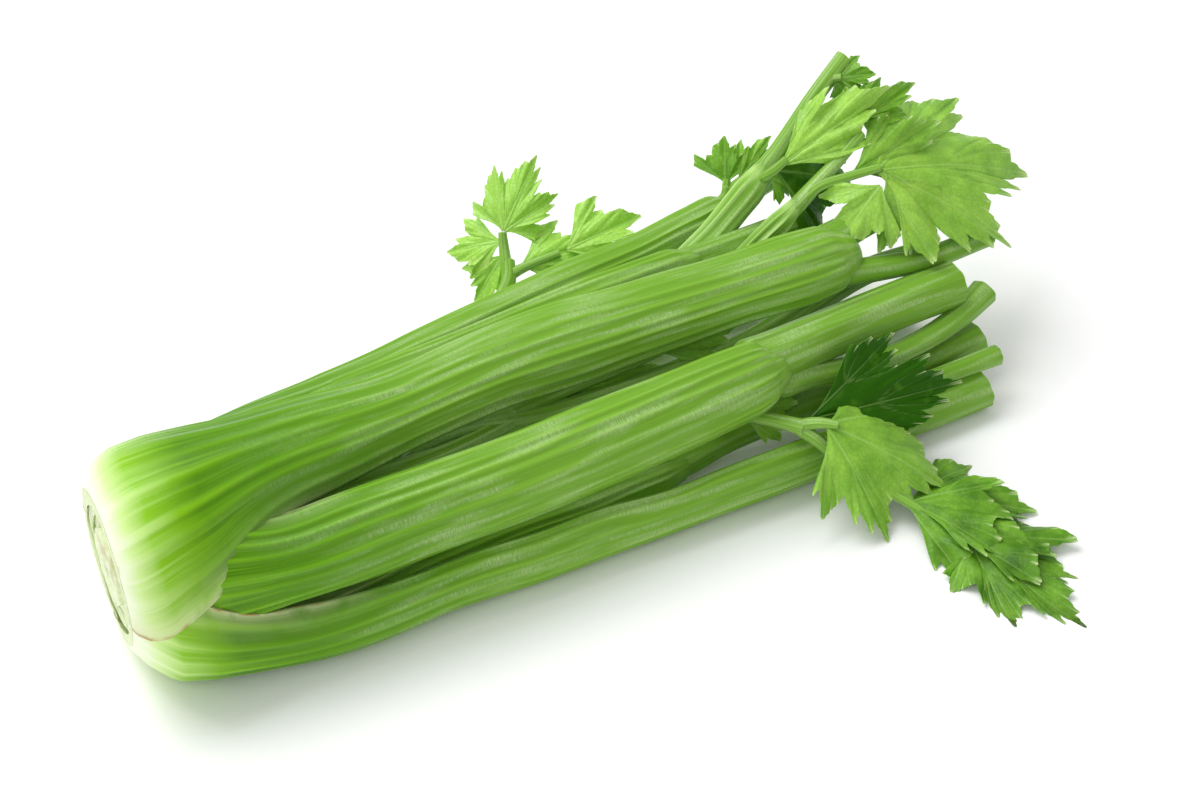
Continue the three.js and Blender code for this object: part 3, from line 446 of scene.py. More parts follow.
def closed_tube(rings):
    """A tube's points and faces, with one flat face at each end."""
    n = len(rings[0])
    last = (len(rings) - 1) * n
    return np.vstack(rings), tube_faces(len(rings), n) + [list(range(n))[::-1], list(range(last, last + n))]


def stalk_section(radius, half, thickness, rib_height, crest, ragged):
    """A stalk's section as [outward, sideways] points: its ribbed back, a round edge, its hollow front and
    the other edge. Front points run the opposite way, one for each back point."""
    bulge = min(EDGE, EDGE_SHARE * radius) / 2
    reach = np.radians(half) + ragged / radius - bulge / radius
    angle = np.linspace(-1, 1, len(crest)) * reach
    r = radius + rib_height * crest
    back = np.column_stack([r * np.cos(angle), r * np.sin(angle)])
    lip, span = radius * np.cos(reach), radius * np.sin(reach) - 2 * bulge
    across = np.linspace(1, -1, len(crest))
    front = np.column_stack([lip + (radius - thickness - lip) * (1 - across**2), span * across])
    turn = np.linspace(0, np.pi, EDGE_POINTS + 2)[1:-1]
    edge = np.column_stack([lip - bulge * np.sin(turn), span + bulge + bulge * np.cos(turn)])
    return np.vstack([back, edge, front, edge[::-1] * [1, -1]])


def rib_crests(ribs, rng):
    """Height of the back's surface at each of its points, as a share of a rib, and how far it is a crest."""
    across = np.linspace(0, 1, ribs * RIB_POINTS + 1)
    nearest = np.clip(np.floor(across * ribs), 0, ribs - 1).astype(int)
    shift = rng.uniform(-RIB_SHIFT, RIB_SHIFT, ribs)
    off = across * ribs - nearest - 0.5 - shift[nearest]
    narrow = np.exp(-((off / RIB_WIDTH) ** 2))
    broad = 0.5 + 0.5 * np.cos(2 * np.pi * off)
    height = rng.uniform(*RIB_RANGE, ribs)[nearest]
    return height * (RIB_NARROW * narrow + (1 - RIB_NARROW) * broad), narrow * height


def stalk_stations(start, knuckle):
    """Where a stalk's rings stand: close together at the cut and at the knuckle."""
    body = np.arange(start + CUT_ROUND, knuckle, STATION_STEP)
    cut = start + CUT_ROUND * (1 - np.cos(np.linspace(0, np.pi / 2, CUT_ROUND_RINGS + 1)))[:-1]
    end = knuckle + KNUCKLE_ROUND * np.array(KNUCKLE_STEPS)
    return np.concatenate([cut, body[body < end[0] - 1], end])


def narrowed(x, knuckle):
    """Size of a stalk's section at x, as a share of its full size."""
    return np.interp((x - knuckle + NECK) / (NECK + SHOULDER), *np.transpose(END_SIZES))


def off_edge(n):
    """How far each of a back's n points is from the nearer edge, as a share of the back."""
    return np.minimum(np.arange(n), np.arange(n)[::-1]) / n


def stalk_mesh(spec, order, sizes):
    """Rings, marks and grain of a stalk without its stems, and the number of points across its back."""
    rng = np.random.default_rng(SEED + order)
    route = np.array(spec["route"], float)
    crest, ridge = rib_crests(spec["ribs"], rng)
    wave, margin = wobble(rng, 3), wobble(rng, 2)  # of the margin's two curves, the first is used
    tuck, lean = spec["tuck"], np.array(spec.get("lean", [0, 0]))
    start = CUT_STAGGER * order if tuck < INNER_TUCK else CROWN_SLOPE * (tuck - INNER_TUCK) + INNER_START
    knuckle = route[-1, 0]
    n = len(crest)
    # The grain's lines follow the ribs, and spread with them over a broad base.
    strands = np.arange(2 * (n + EDGE_POINTS)) * 2 * np.radians(route[0, 4]) * route[0, 3] / n
    blank = np.zeros(EDGE_POINTS)
    rib_mark = np.concatenate([ridge, blank, np.zeros(n), blank])
    inner = np.concatenate([np.zeros(n), blank + 0.5, np.ones(n), blank + 0.5])
    edge = np.concatenate([np.exp(-off_edge(n) / EDGE_MARK), blank + 1] * 2)
    rings, marks, grain = [], [], []

    def ring(x, points, share):
        rings.append(points)
        grain.append(np.column_stack([strands, np.full(len(points), x), np.full(len(points), order)]))
        pale = KNUCKLE_PALE * np.exp(-(((x - knuckle - RING_SHIFT) / RING_REACH) ** 2)) * (1 - inner)
        marks.append(np.column_stack([rib_mark * share + pale, edge, inner, 0 * edge]))

    for x in stalk_stations(start, knuckle):
        row = row_at(route, x)
        before, after = row_at(route, x - TANGENT_REACH), row_at(route, min(knuckle, x + TANGENT_REACH))
        rise = BASE_RIB_SHARE + (1 - BASE_RIB_SHARE) * min(1, (x - start) / RIB_FADE)
        share = min(1, (knuckle - x) / KNUCKLE_FADE + KNUCKLE_RIB)
        rib = sizes.rib_height / MM * min(rise, share)
        inset = CUT_ROUND - np.sqrt(max(0, CUT_ROUND**2 - max(0, start + CUT_ROUND - x) ** 2))
        bumps = WAVE_HEIGHT * wave(x)
        swell = KNUCKLE_SWELL * np.exp(-(((x - knuckle + KNUCKLE_ROUND) / KNUCKLE_ROUND) ** 2))
        size = narrowed(x, knuckle)
        radius = size * (row[3] + bumps[0] + swell) - inset
        thickness = size * (row[5] + WAVE_THIN * bumps[1]) - 2 * inset
        section = stalk_section(radius, row[4], thickness, rib, crest, bumps[2])
        own = placed(section, np.array([x, row[1], row[2]]), direction(before, after), row[6])
        if x < BASE_END:
            half = spec["wrap"] * (1 - WRAP_LOSS * smoothstep(x / BASE_END))
            centre = np.array([x, *([0, AXIS_HEIGHT] + lean * min(1, x / LEAN_END))])
            ragged = MARGIN_WAVE * margin(MARGIN_PACE * x)[0] * np.sin(np.pi * x / BASE_END)
            radius = np.interp(x, *np.transpose(HEAD_PROFILE)) - tuck - inset
            section = stalk_section(radius, half, SHEATH - 2 * inset, rib, crest, ragged)
            base = placed(section, centre, np.array([1.0, 0, 0]), spec["seat"])
            turned = smoothstep(x / BASE_END)
            own = base * (1 - turned) + own * turned
        ring(x, own, max(0, share))
    end = row_at(route, knuckle)
    way = direction(row_at(route, knuckle - TANGENT_REACH), end)
    for step in SHOULDER_STEPS:
        x = knuckle + SHOULDER * step
        size = narrowed(x, knuckle)
        section = stalk_section(size * end[3], end[4], size * end[5], 0, crest, 0)
        ring(x, placed(section, end[:3] + way * SHOULDER * step, way, end[6]), 0)
    return rings, marks, grain, n


def seen_from_axis(points, seat):
    """Each point's angle round the head's middle line, from the seat, and its distance from that line."""
    y, z = points[:, 1], points[:, 2] - AXIS_HEIGHT
    return (np.degrees(np.arctan2(z, y)) - seat + 180) % 360 - 180, np.hypot(y, z)


def lay_on_inner(rings, n, inner_stalks):
    """Lays a broad base on the stalks inside it: where one of them would show through, the base is pushed out
    over it, and the base's two margins bend in until they touch it."""
    margin = np.exp(-((off_edge(n) / EDGE_REACH) ** 2))
    window = np.ones(LAP_SMOOTH) / LAP_SMOOTH
    rings = [ring for ring in rings if ring[:, 0].mean() < LAP_END]
    shifts = []
    for ring in rings:
        x = ring[:, 0].mean()
        under = np.full(n, -np.inf)
        for seat, stations, backs in inner_stalks:
            angles, reach = seen_from_axis(backs[int(np.argmin(np.abs(stations - x)))], seat)
            order = np.argsort(angles)
            angle, own = seen_from_axis(ring[:n], seat)
            here = np.interp(angle, angles[order], reach[order], left=-np.inf, right=-np.inf)
            under = np.maximum(under, here)
        step = np.where(np.isfinite(under), under + LIP - own, 0)
        pushed = np.clip(step, 0, LAP_PUSH) * (1 - smoothstep(x / PUSH_END))
        pushed = np.array([pushed[max(0, i - LAP_SPREAD) : i + LAP_SPREAD + 1].max() for i in range(n)])
        pulled = np.clip(step, -LAP_PULL, 0) * margin * (1 - smoothstep(2 * x / LAP_END - 1))
        padded = np.pad(pushed + pulled, LAP_SMOOTH // 2, mode="edge")
        shifts.append(np.convolve(padded, window, mode="valid"))
    along = np.pad(shifts, ((LAP_RINGS, LAP_RINGS), (0, 0)), mode="edge")
    for i, ring in enumerate(rings):
        shift = along[i : i + 2 * LAP_RINGS + 1].mean(0)
        # The hollow side and the edges go with the back in front of them.
        near, far = np.full(EDGE_POINTS, shift[-1]), np.full(EDGE_POINTS, shift[0])
        shift = np.concatenate([shift, near, shift[::-1], far])
        outward = ring[:, 1:] - [0, AXIS_HEIGHT]
        ring[:, 1:] += shift[:, None] * outward / np.linalg.norm(outward, axis=1, keepdims=True)


def strip_cap(n, total, first):
    """Closes a stalk's far end between its back and its front points. Its last ring begins at point first."""
    back = first + np.arange(n - 1)
    front = first + 2 * n + EDGE_POINTS - 1 - np.arange(n - 1)
    near = list(range(first + n - 1, first + n + EDGE_POINTS + 1))
    far = [first] + list(range(first + total - 1, first + total - EDGE_POINTS - 2, -1))
    return np.column_stack([back + 1, front - 1, front, back]).tolist() + [near, far]


def stem_rings(rows, sides, rng, flute):
    """Rings of a smooth stem, a little fluted, with a rounded rim at its cut end."""
    rows = np.array(rows, float)
    path = [mixed_row(rows, i, t) for i in range(len(rows) - 1) for t in np.arange(STEM_STEPS) / STEM_STEPS]
    path.append(rows[-1])
    angle = full_circle(sides)
    flutes = 1 + flute * np.cos(rng.integers(*FLUTES) * angle + rng.uniform(0, ANY_START))
    outline = flutes[:, None] * np.column_stack([np.cos(angle), np.sin(angle)])
    rings = []
    for i, row in enumerate(path[:-1]):
        size = row[3] * (STEM_START[i] if i < len(STEM_START) else 1)
        rings.append(placed(size * outline, row[:3], direction(path[max(0, i - 1)], path[i + 1]), 90))
    end, way = path[-1], direction(path[-2], path[-1])
    slant = rng.uniform(-CUT_SLANT, CUT_SLANT)
    for share, rise in CUT_RINGS:
        section = share * end[3] * outline
        rings.append(placed(section, end[:3] + way * rise, way, 90) + way * (slant * section[:, :1]))
    return rings


def leaflet_rim(leaf):
    """Angles and reaches of a leaflet's edge, lobes with teeth, and the veins that run to them."""
    fan, outermost = LOBE_FAN[leaf.lobes], (leaf.lobes - 1) // 2
    rim, veins = [], []
    for lobe in range(-outermost, outermost + 1):
        longest = LOBE_REACH[abs(lobe)]
        beside = 1 if abs(lobe) == 2 else leaf.teeth
        step = fan / (2 * beside + 1)
        for tooth in range(-beside, beside + 1):
            peak = longest * (1 - TOOTH_DROP[beside] * abs(tooth))
            angle = np.radians(lobe * fan + tooth * step)
            rim.append((angle, peak))
            veins.append((np.radians(lobe * fan), longest, angle, peak, tooth))
            if tooth == beside and lobe == outermost:
                break
            notch = leaf.notch * longest if tooth == beside else TOOTH_NOTCH * peak
            rim.append((angle + np.radians(step / 2), notch))
    return np.array(rim), veins


def fine_rim(rim, steps):
    """The rim with more points: a tooth's sides are bowed, with a smaller tooth, and its tip is a point."""
    angles, reaches = [], []
    t = np.arange(steps) / steps
    for (angle, reach), (next_angle, next_reach) in zip(rim[:-1], rim[1:]):
        up = t if next_reach > reach else 1 - t
        low, high = sorted((reach, next_reach))
        bow = TOOTH_BOW * np.sin(np.pi / 2 * up) + (1 - TOOTH_BOW) * up**4
        angles.append(angle + (next_angle - angle) * t)
        reaches.append(low + (high - low) * (bow + SIDE_TOOTH * np.sin(3 * np.pi * up)))
    return np.append(np.concatenate(angles), rim[-1, 0]), np.append(np.concatenate(reaches), rim[-1, 1])


def nearest_vein(flat, veins, width):
    """How far each flat point is on a vein, from the main veins' fat roots to the teeth's thin ends."""
    mark = np.zeros(len(flat))
    for main, longest, angle, peak, tooth in veins:
        slimmer, fainter = SIDE_VEIN if tooth else (1, 1)
        tip = np.array([np.cos(angle), np.sin(angle)]) * peak * VEIN_REACH
        root = np.array([np.cos(main), np.sin(main)]) * longest * VEIN_FORK if tooth else np.zeros(2)
        way = tip - root
        t = np.clip((flat - root) @ way / (way @ way), 0, 1)
        bend = VEIN_BEND * np.sin(np.pi * t) * np.sign(tooth)
        side = np.array([-way[1], way[0]])
        off = np.linalg.norm(flat - root - t[:, None] * way - bend[:, None] * side, axis=1)
        mark = np.maximum(mark, np.exp(-((off / (width * (VEIN_TAPER - t) * slimmer)) ** 2)) * fainter)
    return mark


def count_for(length, rule):
    """How many points or rings a leaflet gets: one for each step of its length, between the limits."""
    step, fewest, most = rule
    return int(np.clip(length / step, fewest, most))


def leaflet_part(leaf, rng, sizes):
    """A toothed leaflet's part: a thin bent blade with sunk veins and rippled lobes."""
    hub, tip, up = (np.array(place, float) for place in (leaf.hub, leaf.tip, leaf.face))
    aim, length = direction(hub, tip), np.linalg.norm(tip - hub)
    up -= aim * (up @ aim)
    up /= np.linalg.norm(up)
    side = np.cross(up, aim)
    rim, veins = leaflet_rim(leaf)
    angle, reach = fine_rim(rim, count_for(length, TOOTH_POINTS))
    q = np.linspace(FIRST_RING, 1, count_for(length, BLADE_RINGS))[:, None] ** RING_CROWD
    a, r = angle * (1 - HUB_NARROW * (1 - q) ** 2), reach * q
    ahead, aside = r * np.cos(a), r * np.sin(a)
    along, across = ahead, aside * leaf.breadth
    flat = np.column_stack([ahead.ravel(), aside.ravel()])
    wide, fine = (nearest_vein(flat, veins, w / length).reshape(r.shape) for w in (VEIN_VALLEY, VEIN_WIDTH))

    lifts = np.interp(angle, np.radians(np.linspace(-90, 90, LIFT_PLACES)), rng.uniform(-1, 1, LIFT_PLACES))
    ripple = np.sin(angle * rng.uniform(*RIPPLES) + rng.uniform(0, ANY_START)) * q**3
    (waves_along, waves_across), (wander, bends) = PUFF_WAVES, PUFF_WANDER
    puff = np.sin(waves_along * along + wander * np.sin(bends * across)) * np.sin(waves_across * across + 2)
    lift = LOBE_LIFT * length * lifts * q**2 + sizes.ripple / MM * ripple * min(1, length / RIPPLE_LENGTH)
    lift = lift - VEIN_SINK * wide + VEIN_RIB * fine + PUFF * puff * (1 - wide) * q * (PUFF_END - q)
    droop, turn = leaf.droop, 2 * leaf.cup
    sink = (1 - np.cos(droop * along)) / droop + (1 - np.cos(turn * across)) / turn
    place = hub + (length * np.sin(droop * along) / droop)[..., None] * aim
    place = place + (length * np.sin(turn * across) / turn)[..., None] * side
    place = place + (lift - length * sink)[..., None] * up

    normal = np.cross(np.gradient(place, axis=0), np.gradient(place, axis=1))
    normal /= np.linalg.norm(normal, axis=2, keepdims=True) + 1e-12
    normal *= np.sign((normal * up).sum())
    taper = BLADE_TAPER[0] - BLADE_TAPER[1] * q
    half = (sizes.blade / MM / 2 * taper * (1 + VEIN_THICK * fine))[..., None]
    points = np.vstack([(place + normal * half).reshape(-1, 3), (place - normal * half).reshape(-1, 3)])
    m, n = r.shape
    total = m * n
    top = grid_faces(m, n)
    loop = np.concatenate([np.arange(n), np.arange(1, m) * n + n - 1,
                           (m - 1) * n + np.arange(n - 1)[::-1], np.arange(1, m - 1)[::-1] * n])
    next_on = np.roll(loop, -1)
    wall = np.column_stack([loop, next_on, next_on + total, loop + total])

    is_peak = (reach > np.roll(reach, 1)) * (reach > np.roll(reach, -1))
    tooth_point = np.clip((q - (1 - POINT_REACH)) / POINT_REACH, 0, 1) * is_peak
    marks = np.column_stack([fine.ravel(), tooth_point.ravel(), np.zeros(total), np.full(total, leaf.tone)])
    grain = np.column_stack([(across * length).ravel(), (along * length).ravel(), np.zeros(total)])
    faces = np.vstack([top, top[:, ::-1] + total, wall]).tolist()
    return points, np.vstack([marks, marks + [0, 0, 1, 0]]), np.vstack([grain, grain]), faces


def linear(code):
    """An sRGB hex colour such as #88AA44 as linear red, green, blue and alpha."""
    parts = [int(code[i : i + 2], 16) / 255 for i in (1, 3, 5)]
    return (*[c / 12.92 if c <= 0.04045 else ((c + 0.055) / 1.055) ** 2.4 for c in parts], 1)


def as_colour(value):
    """A hex code, a grey from 0 to 1, or a colour property as a colour."""
    if isinstance(value, str):
        return linear(value)
    return (value, value, value, 1) if isinstance(value, (int, float)) else tuple(value)


def set_inputs(tree, node, inputs):
    """Sets a node's inputs. Each, by its place or name, is a number, a colour or another node's output."""
    for key, value in inputs.items():
        socket = node.inputs[key]
        if isinstance(value, bpy.types.NodeSocket):
            tree.links.new(value, socket)
        else:
            socket.default_value = as_colour(value) if socket.type == "RGBA" else value


def add_node(tree, kind, inputs=None, stops=(), output=0, **settings):
    """Adds a node with its inputs and settings and returns one of its outputs. Stops are the places and
    colours of a colour ramp."""
    node = tree.nodes.new(kind)
    for key, value in settings.items():
        setattr(node, key, value)
    set_inputs(tree, node, inputs or {})
    if stops:
        elements = node.color_ramp.elements
        elements[0].position, elements[-1].position = stops[0][0], stops[-1][0]
        for position, _ in stops[1:-1]:
            elements.new(position)
        for element, (_, colour) in zip(elements, stops):
            element.color = as_colour(colour)
    return node.outputs[output]


ATTRIBUTE, SEPARATE = "ShaderNodeAttribute", "ShaderNodeSeparateColor"
MATH, MIX, RAMP = "ShaderNodeMath", "ShaderNodeMix", "ShaderNodeValToRGB"
MAPPING, NOISE, CELLS = "ShaderNodeMapping", "ShaderNodeTexNoise", "ShaderNodeTexVoronoi"
PLACE, BUMP = "ShaderNodeTexCoord", "ShaderNodeBump"


def new_material(name):
    """An empty material, the way to add nodes to it and the way to set its shader's inputs."""
    material = bpy.data.materials.new(name)
    material.use_nodes = True
    tree = material.node_tree
    shader = tree.nodes["Principled BSDF"]
    return material, functools.partial(add_node, tree), functools.partial(set_inputs, tree, shader)


def stalk_flesh(name, looks, full, crest):
    """Fresh celery stalk: a moist waxy skin over pale flesh, so it has a soft wet gloss. Near the root it is
    almost white, then turns its full green. Crests of its ribs are paler and the troughs between them
    darker. Whitish cross-grained flecks on the ribs are partly a fine bloom and partly painted sheen,
    stronger far from the root."""
    material, add, finish = new_material(name)
    # The marks are rib, edge, inner side and cut flesh. The grain is millimetres across and along the stalk.
    marks = add(ATTRIBUTE, attribute_name="marks", output="Color")
    rib, edge, inner = add(SEPARATE, {0: marks}).node.outputs
    cut = marks.node.outputs["Alpha"]
    place = add(ATTRIBUTE, attribute_name="grain", output="Vector")
    along = add("ShaderNodeSeparateXYZ", {0: place}, output="Y")
    # Noises by the millimetres across and along of what they draw, and their detail: blotches of the skin,
    # its fine lines, a wash between its strands, the flecks and patches of bloom and painted sheen, and worn
    # places of a thin margin. The flecks are 0.2 mm wide on the real skin, drawn at 0.5 mm so that they show.
    drawn = [(12, 45, 2), (0.9, 60, 2), (3.5, 90, 1), (3, 0.5, 2), (4, 44, 2), (7, 9, 4)]
    blotch, strand, wash, fleck, patch, worn = [
        add(NOISE, {0: add(MAPPING, {0: place, "Scale": (1 / x, 1 / y, 1)}), "Scale": 1, "Detail": detail})
        for x, y, detail in drawn
    ]
    # How far the skin has greened, and what follows it by the millimetre: colours between the ribs, on them
    # and on the hollow side, how strong the bloom and painted sheen are and where a margin is still papery.
    by = GREENING_UNEVEN / GREENING
    uneven = add(MATH, {0: blotch, 1: 2 * by, 2: -by}, operation="MULTIPLY_ADD")
    reach = add(MATH, {0: along, 1: 1 / GREENING, 2: uneven}, operation="MULTIPLY_ADD", use_clamp=True)
    trough, ridge, inside, bloom_and_sheen_strength, early = [
        add(RAMP, {0: reach}, [(distance / GREENING, value) for distance, value in stops])
        for stops in [
            [(1, looks.root), (6, looks.pale), (14, looks.young), (34, full), (GREENING, looks.old)],
            [(3, looks.root), (10, looks.pale), (26, looks.young), (60, looks.fresh), (130, crest)],
            [(0, looks.root), (16, looks.pale), (50, looks.inside)],
            [(40, 0.06), (120, 0.5)],
            [(64, 1.0), (90, 0.0)],
        ]
    ]
    lines = add(RAMP, {0: strand}, [(0.5, 0.0), (0.66, 0.5)])
    shade = add(RAMP, {0: wash}, [(0.35, 0.6), (0.6, 0.0)])
    flecks = add(RAMP, {0: fleck}, [(0.36, 0.2), (0.7, 1.0)])
    patches = add(RAMP, {0: patch}, [(0.46, 0.0), (0.66, 1.0)])
    # Bloom and painted sheen: whitish flecks in patches, growing stronger far from the root.
    bloom_and_sheen = add(MATH, {0: add(MATH, {0: flecks, 1: patches}, operation="MULTIPLY"), 1: bloom_and_sheen_strength},
                operation="MULTIPLY")
    hollow = add(MATH, {0: inner, 1: 0.75}, operation="MULTIPLY")
    # A broad base's thin margin is papery, and browned in places. The cut rim has dried to brown in spots.
    margin = add(MATH, {0: edge, 1: early}, operation="MULTIPLY")
    papery = add(MATH, {0: margin, 1: add(RAMP, {0: worn}, [(0.3, 0.35), (0.5, 0.9)])}, operation="MULTIPLY")
    dried = add(RAMP, {0: worn}, [(0.48, 0.0), (0.62, 0.8)])
    outermost = add(RAMP, {0: margin}, [(0.7, 0.0), (0.95, 1.0)])
    browned = add(MATH, {0: outermost, 1: dried}, operation="MULTIPLY")
    spots = add(RAMP, {0: worn}, [(0.6, 0.0), (0.68, 0.7)])
    rim = add(MATH, {0: add(RAMP, {0: along}, [(0.4, 1.0), (1, 0.0)]), 1: spots}, operation="MULTIPLY")
    # Cut flesh is pale, with grains 1.7 mm wide.
    pith = add(NOISE, {0: place, "Scale": 0.6, "Detail": 4})
    flesh = add(RAMP, {0: pith}, [(0.3, looks.flesh), (0.75, looks.root)])
    colour = trough
    for share, over in [
        (rib, ridge), (lines, ridge), (shade, trough), (bloom_and_sheen, looks.bloom_and_sheen), (hollow, inside),
        (papery, looks.margin), (browned, looks.brown), (rim, looks.brown), (cut, flesh),
    ]:
        colour = add(MIX, {0: share, 6: colour, 7: over}, output=2, data_type="RGBA")

    rough = add(RAMP, {0: blotch}, [(0.3, 0.27), (0.7, 0.38)])
    for share, rougher in [(bloom_and_sheen, 0.25), (cut, 0.2)]:
        rough = add(MATH, {0: share, 1: rougher, 2: rough}, operation="MULTIPLY_ADD")
    height = add(MATH, {0: bloom_and_sheen, 1: strand}, operation="ADD")
    fibre = add(BUMP, {"Height": height, "Distance": 0.00022, "Strength": 0.9})
    finish({"Base Color": colour, "Roughness": rough, "Normal": fibre, "IOR": 1.42, "Specular IOR Level": 0.2,
            "Subsurface Weight": 0.12, "Subsurface Scale": 0.004, "Subsurface Radius": (0.9, 1.0, 0.35)})
    return material


def leaf_blade(name, looks):
    """Celery leaf: a thin blade with a wax skin, bright green and softly glossy above, paler and matt
    beneath. Its veins are pale, a net of finer ones is sunk into it with painted shade in its lines, and its
    teeth end in small whitish points."""
    material, add, finish = new_material(name)
    # The marks are vein, tooth point, lower side and how light the leaflet is.
    marks = add(ATTRIBUTE, attribute_name="marks", output="Color")
    vein, tooth, under = add(SEPARATE, {0: marks}).node.outputs
    tone = marks.node.outputs["Alpha"]
    place = add(ATTRIBUTE, attribute_name="grain", output="Vector")
    # Clouds 14 mm wide, puckers between the veins some 3 mm apart, and the net of small veins, 2 mm wide.
    cloud = add(NOISE, {0: place, "Scale": 1 / 14, "Detail": 3})
    pucker = add(NOISE, {0: place, "Scale": 1 / 3.2, "Detail": 3})
    cells = add(CELLS, {0: place, "Scale": 1 / 2}, feature="DISTANCE_TO_EDGE")
    shaded_net = add(RAMP, {0: cells}, [(0.02, 0.14), (0.2, 0.0)])
    shade = add(MATH, {0: cloud, 1: 0.9, 2: add(MATH, {0: tone, 1: 0.2}, operation="SUBTRACT")},
                operation="MULTIPLY_ADD")
    colour = add(RAMP, {0: shade}, [(0.3, looks.dark), (0.62, looks.blade), (1, looks.light)])
    # Veins stand out less on a dark leaflet than on a young one.
    clear = add(MATH, {0: tone, 1: 0.12, 2: 0.22}, operation="MULTIPLY_ADD")
    veined, below, tipped = [
        add(MATH, {0: mark, 1: share}, operation="MULTIPLY")
        for mark, share in [(vein, clear), (under, 0.45), (tooth, 0.8)]
    ]
    # The net's lines are mixed towards the darkest green: painted shade in the sunk net.
    for share, over in [
        (shaded_net, looks.dark), (veined, looks.vein), (below, looks.underside), (tipped, looks.point),
    ]:
        colour = add(MIX, {0: share, 6: colour, 7: over}, output=2, data_type="RGBA")

    rough = add(RAMP, {0: cloud}, [(0.3, 0.32), (0.7, 0.46)])
    rough = add(MATH, {0: under, 1: 0.2, 2: rough}, operation="MULTIPLY_ADD")
    height = add(MATH, {0: shaded_net, 1: -1.5, 2: pucker}, operation="MULTIPLY_ADD")
    relief = add(BUMP, {"Height": height, "Distance": 0.0004, "Strength": 0.6})
    # The wax shines less on a dark leaflet.
    shine = add(MATH, {0: tone, 1: 0.5, 2: 0.12}, operation="MULTIPLY_ADD")
    finish({"Base Color": colour, "Roughness": rough, "Normal": relief, "Specular IOR Level": shine,
            "IOR": 1.45, "Subsurface Weight": 0.18, "Subsurface Scale": 0.002,
            "Subsurface Radius": (0.5, 1.0, 0.15)})
    return material


def cut_crown(name, looks):
    """Cut root end: moist pale cream flesh that has dried a little, with a fine grain and browned spots."""
    material, add, finish = new_material(name)
    place = add(PLACE, output="Object")
    grain = add(NOISE, {0: place, "Scale": 450, "Detail": 5})  # 2.2 mm
    cloud = add(NOISE, {0: place, "Scale": 85, "Detail": 3})  # 12 mm
    colour = add(RAMP, {0: grain}, [(0.3, looks.flesh), (0.7, looks.root)])
    spots = add(RAMP, {0: cloud}, [(0.52, 0.0), (0.68, 0.4)])
    colour = add(MIX, {0: spots, 6: colour, 7: looks.brown}, output=2, data_type="RGBA")
    rough = add(RAMP, {0: grain}, [(0.2, 0.42), (0.8, 0.66)])
    relief = add(BUMP, {"Height": grain, "Distance": 0.0006})
    finish({"Base Color": colour, "Roughness": rough, "Normal": relief, "IOR": 1.4,
            "Subsurface Weight": 0.15, "Subsurface Scale": 0.004})
    return material


def studio_paper(name, colour):
    """Matt white studio paper: flat, with the faintest tooth, 1 mm apart."""
    material, add, finish = new_material(name)
    tooth = add(NOISE, {0: add(PLACE, output="Object"), "Scale": 900, "Detail": 2})
    relief = add(BUMP, {"Height": tooth, "Distance": 0.00005, "Strength": 0.2})
    finish({"Base Color": colour, "Roughness": 0.9, "Specular IOR Level": 0.2, "Normal": relief})
    return material


def move_to_frame():
    """From the head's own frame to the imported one: the crown's lowest x is the cut, its middle y the axis."""
    low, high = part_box("crown")
    return np.array([low.x / MM, (low.y + high.y) / 2 / MM, 0])


SHIFT = move_to_frame()


def add_piece(name, parts, material, nodes):
    """One object from parts, each with points in millimetres, marks, grain and faces."""
    points, marks, grain = (np.vstack([part[i] for part in parts]) for i in range(3))
    faces, first = [], 0
    for part in parts:
        faces += [[first + i for i in face] for face in part[3]]
        first += len(part[0])
    if not faces:
        raise RuntimeError(f"{name} has no faces")
    points[:, 2] = FLOOR_GAP + FLOOR_BLEND * np.logaddexp(0, (points[:, 2] - FLOOR_GAP) / FLOOR_BLEND)
    mesh = bpy.data.meshes.new(name)
    mesh.from_pydata(((points + SHIFT) * MM).tolist(), [], faces)
    mesh.attributes.new("marks", "FLOAT_COLOR", "POINT").data.foreach_set("color", marks.ravel())
    mesh.attributes.new("grain", "FLOAT_VECTOR", "POINT").data.foreach_set("vector", grain.ravel())
    shell = bmesh.new()
    shell.from_mesh(mesh)
    bmesh.ops.recalc_face_normals(shell, faces=shell.faces)
    shell.to_mesh(mesh)
    shell.free()
    mesh.shade_smooth()
    mesh.set_sharp_from_angle(angle=SHARP_ANGLE)
    mesh.materials.append(material)
    piece = bpy.data.objects.new(name, mesh)
    bpy.context.scene.collection.objects.link(piece)
    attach(piece, "root")
    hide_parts(*nodes)


def shaped_stalks(sizes):
    """Every stalk's rings, marks and grain, from the heart outwards: broad bases lie on those inside them."""
    shaped, inner_stalks = {}, []
    for order, spec in reversed(list(enumerate(STALKS, 1))):
        rings, marks, grain, n = stalk_mesh(spec, order, sizes)
        if spec["tuck"] < INNER_TUCK and inner_stalks:
            lay_on_inner(rings, n, inner_stalks)
        stations = np.array([ring[:, 0].mean() for ring in rings])
        inner_stalks.append((spec["seat"], stations, [ring[:n] for ring in rings]))
        shaped[spec["name"]] = rings, marks, grain, n
    return shaped


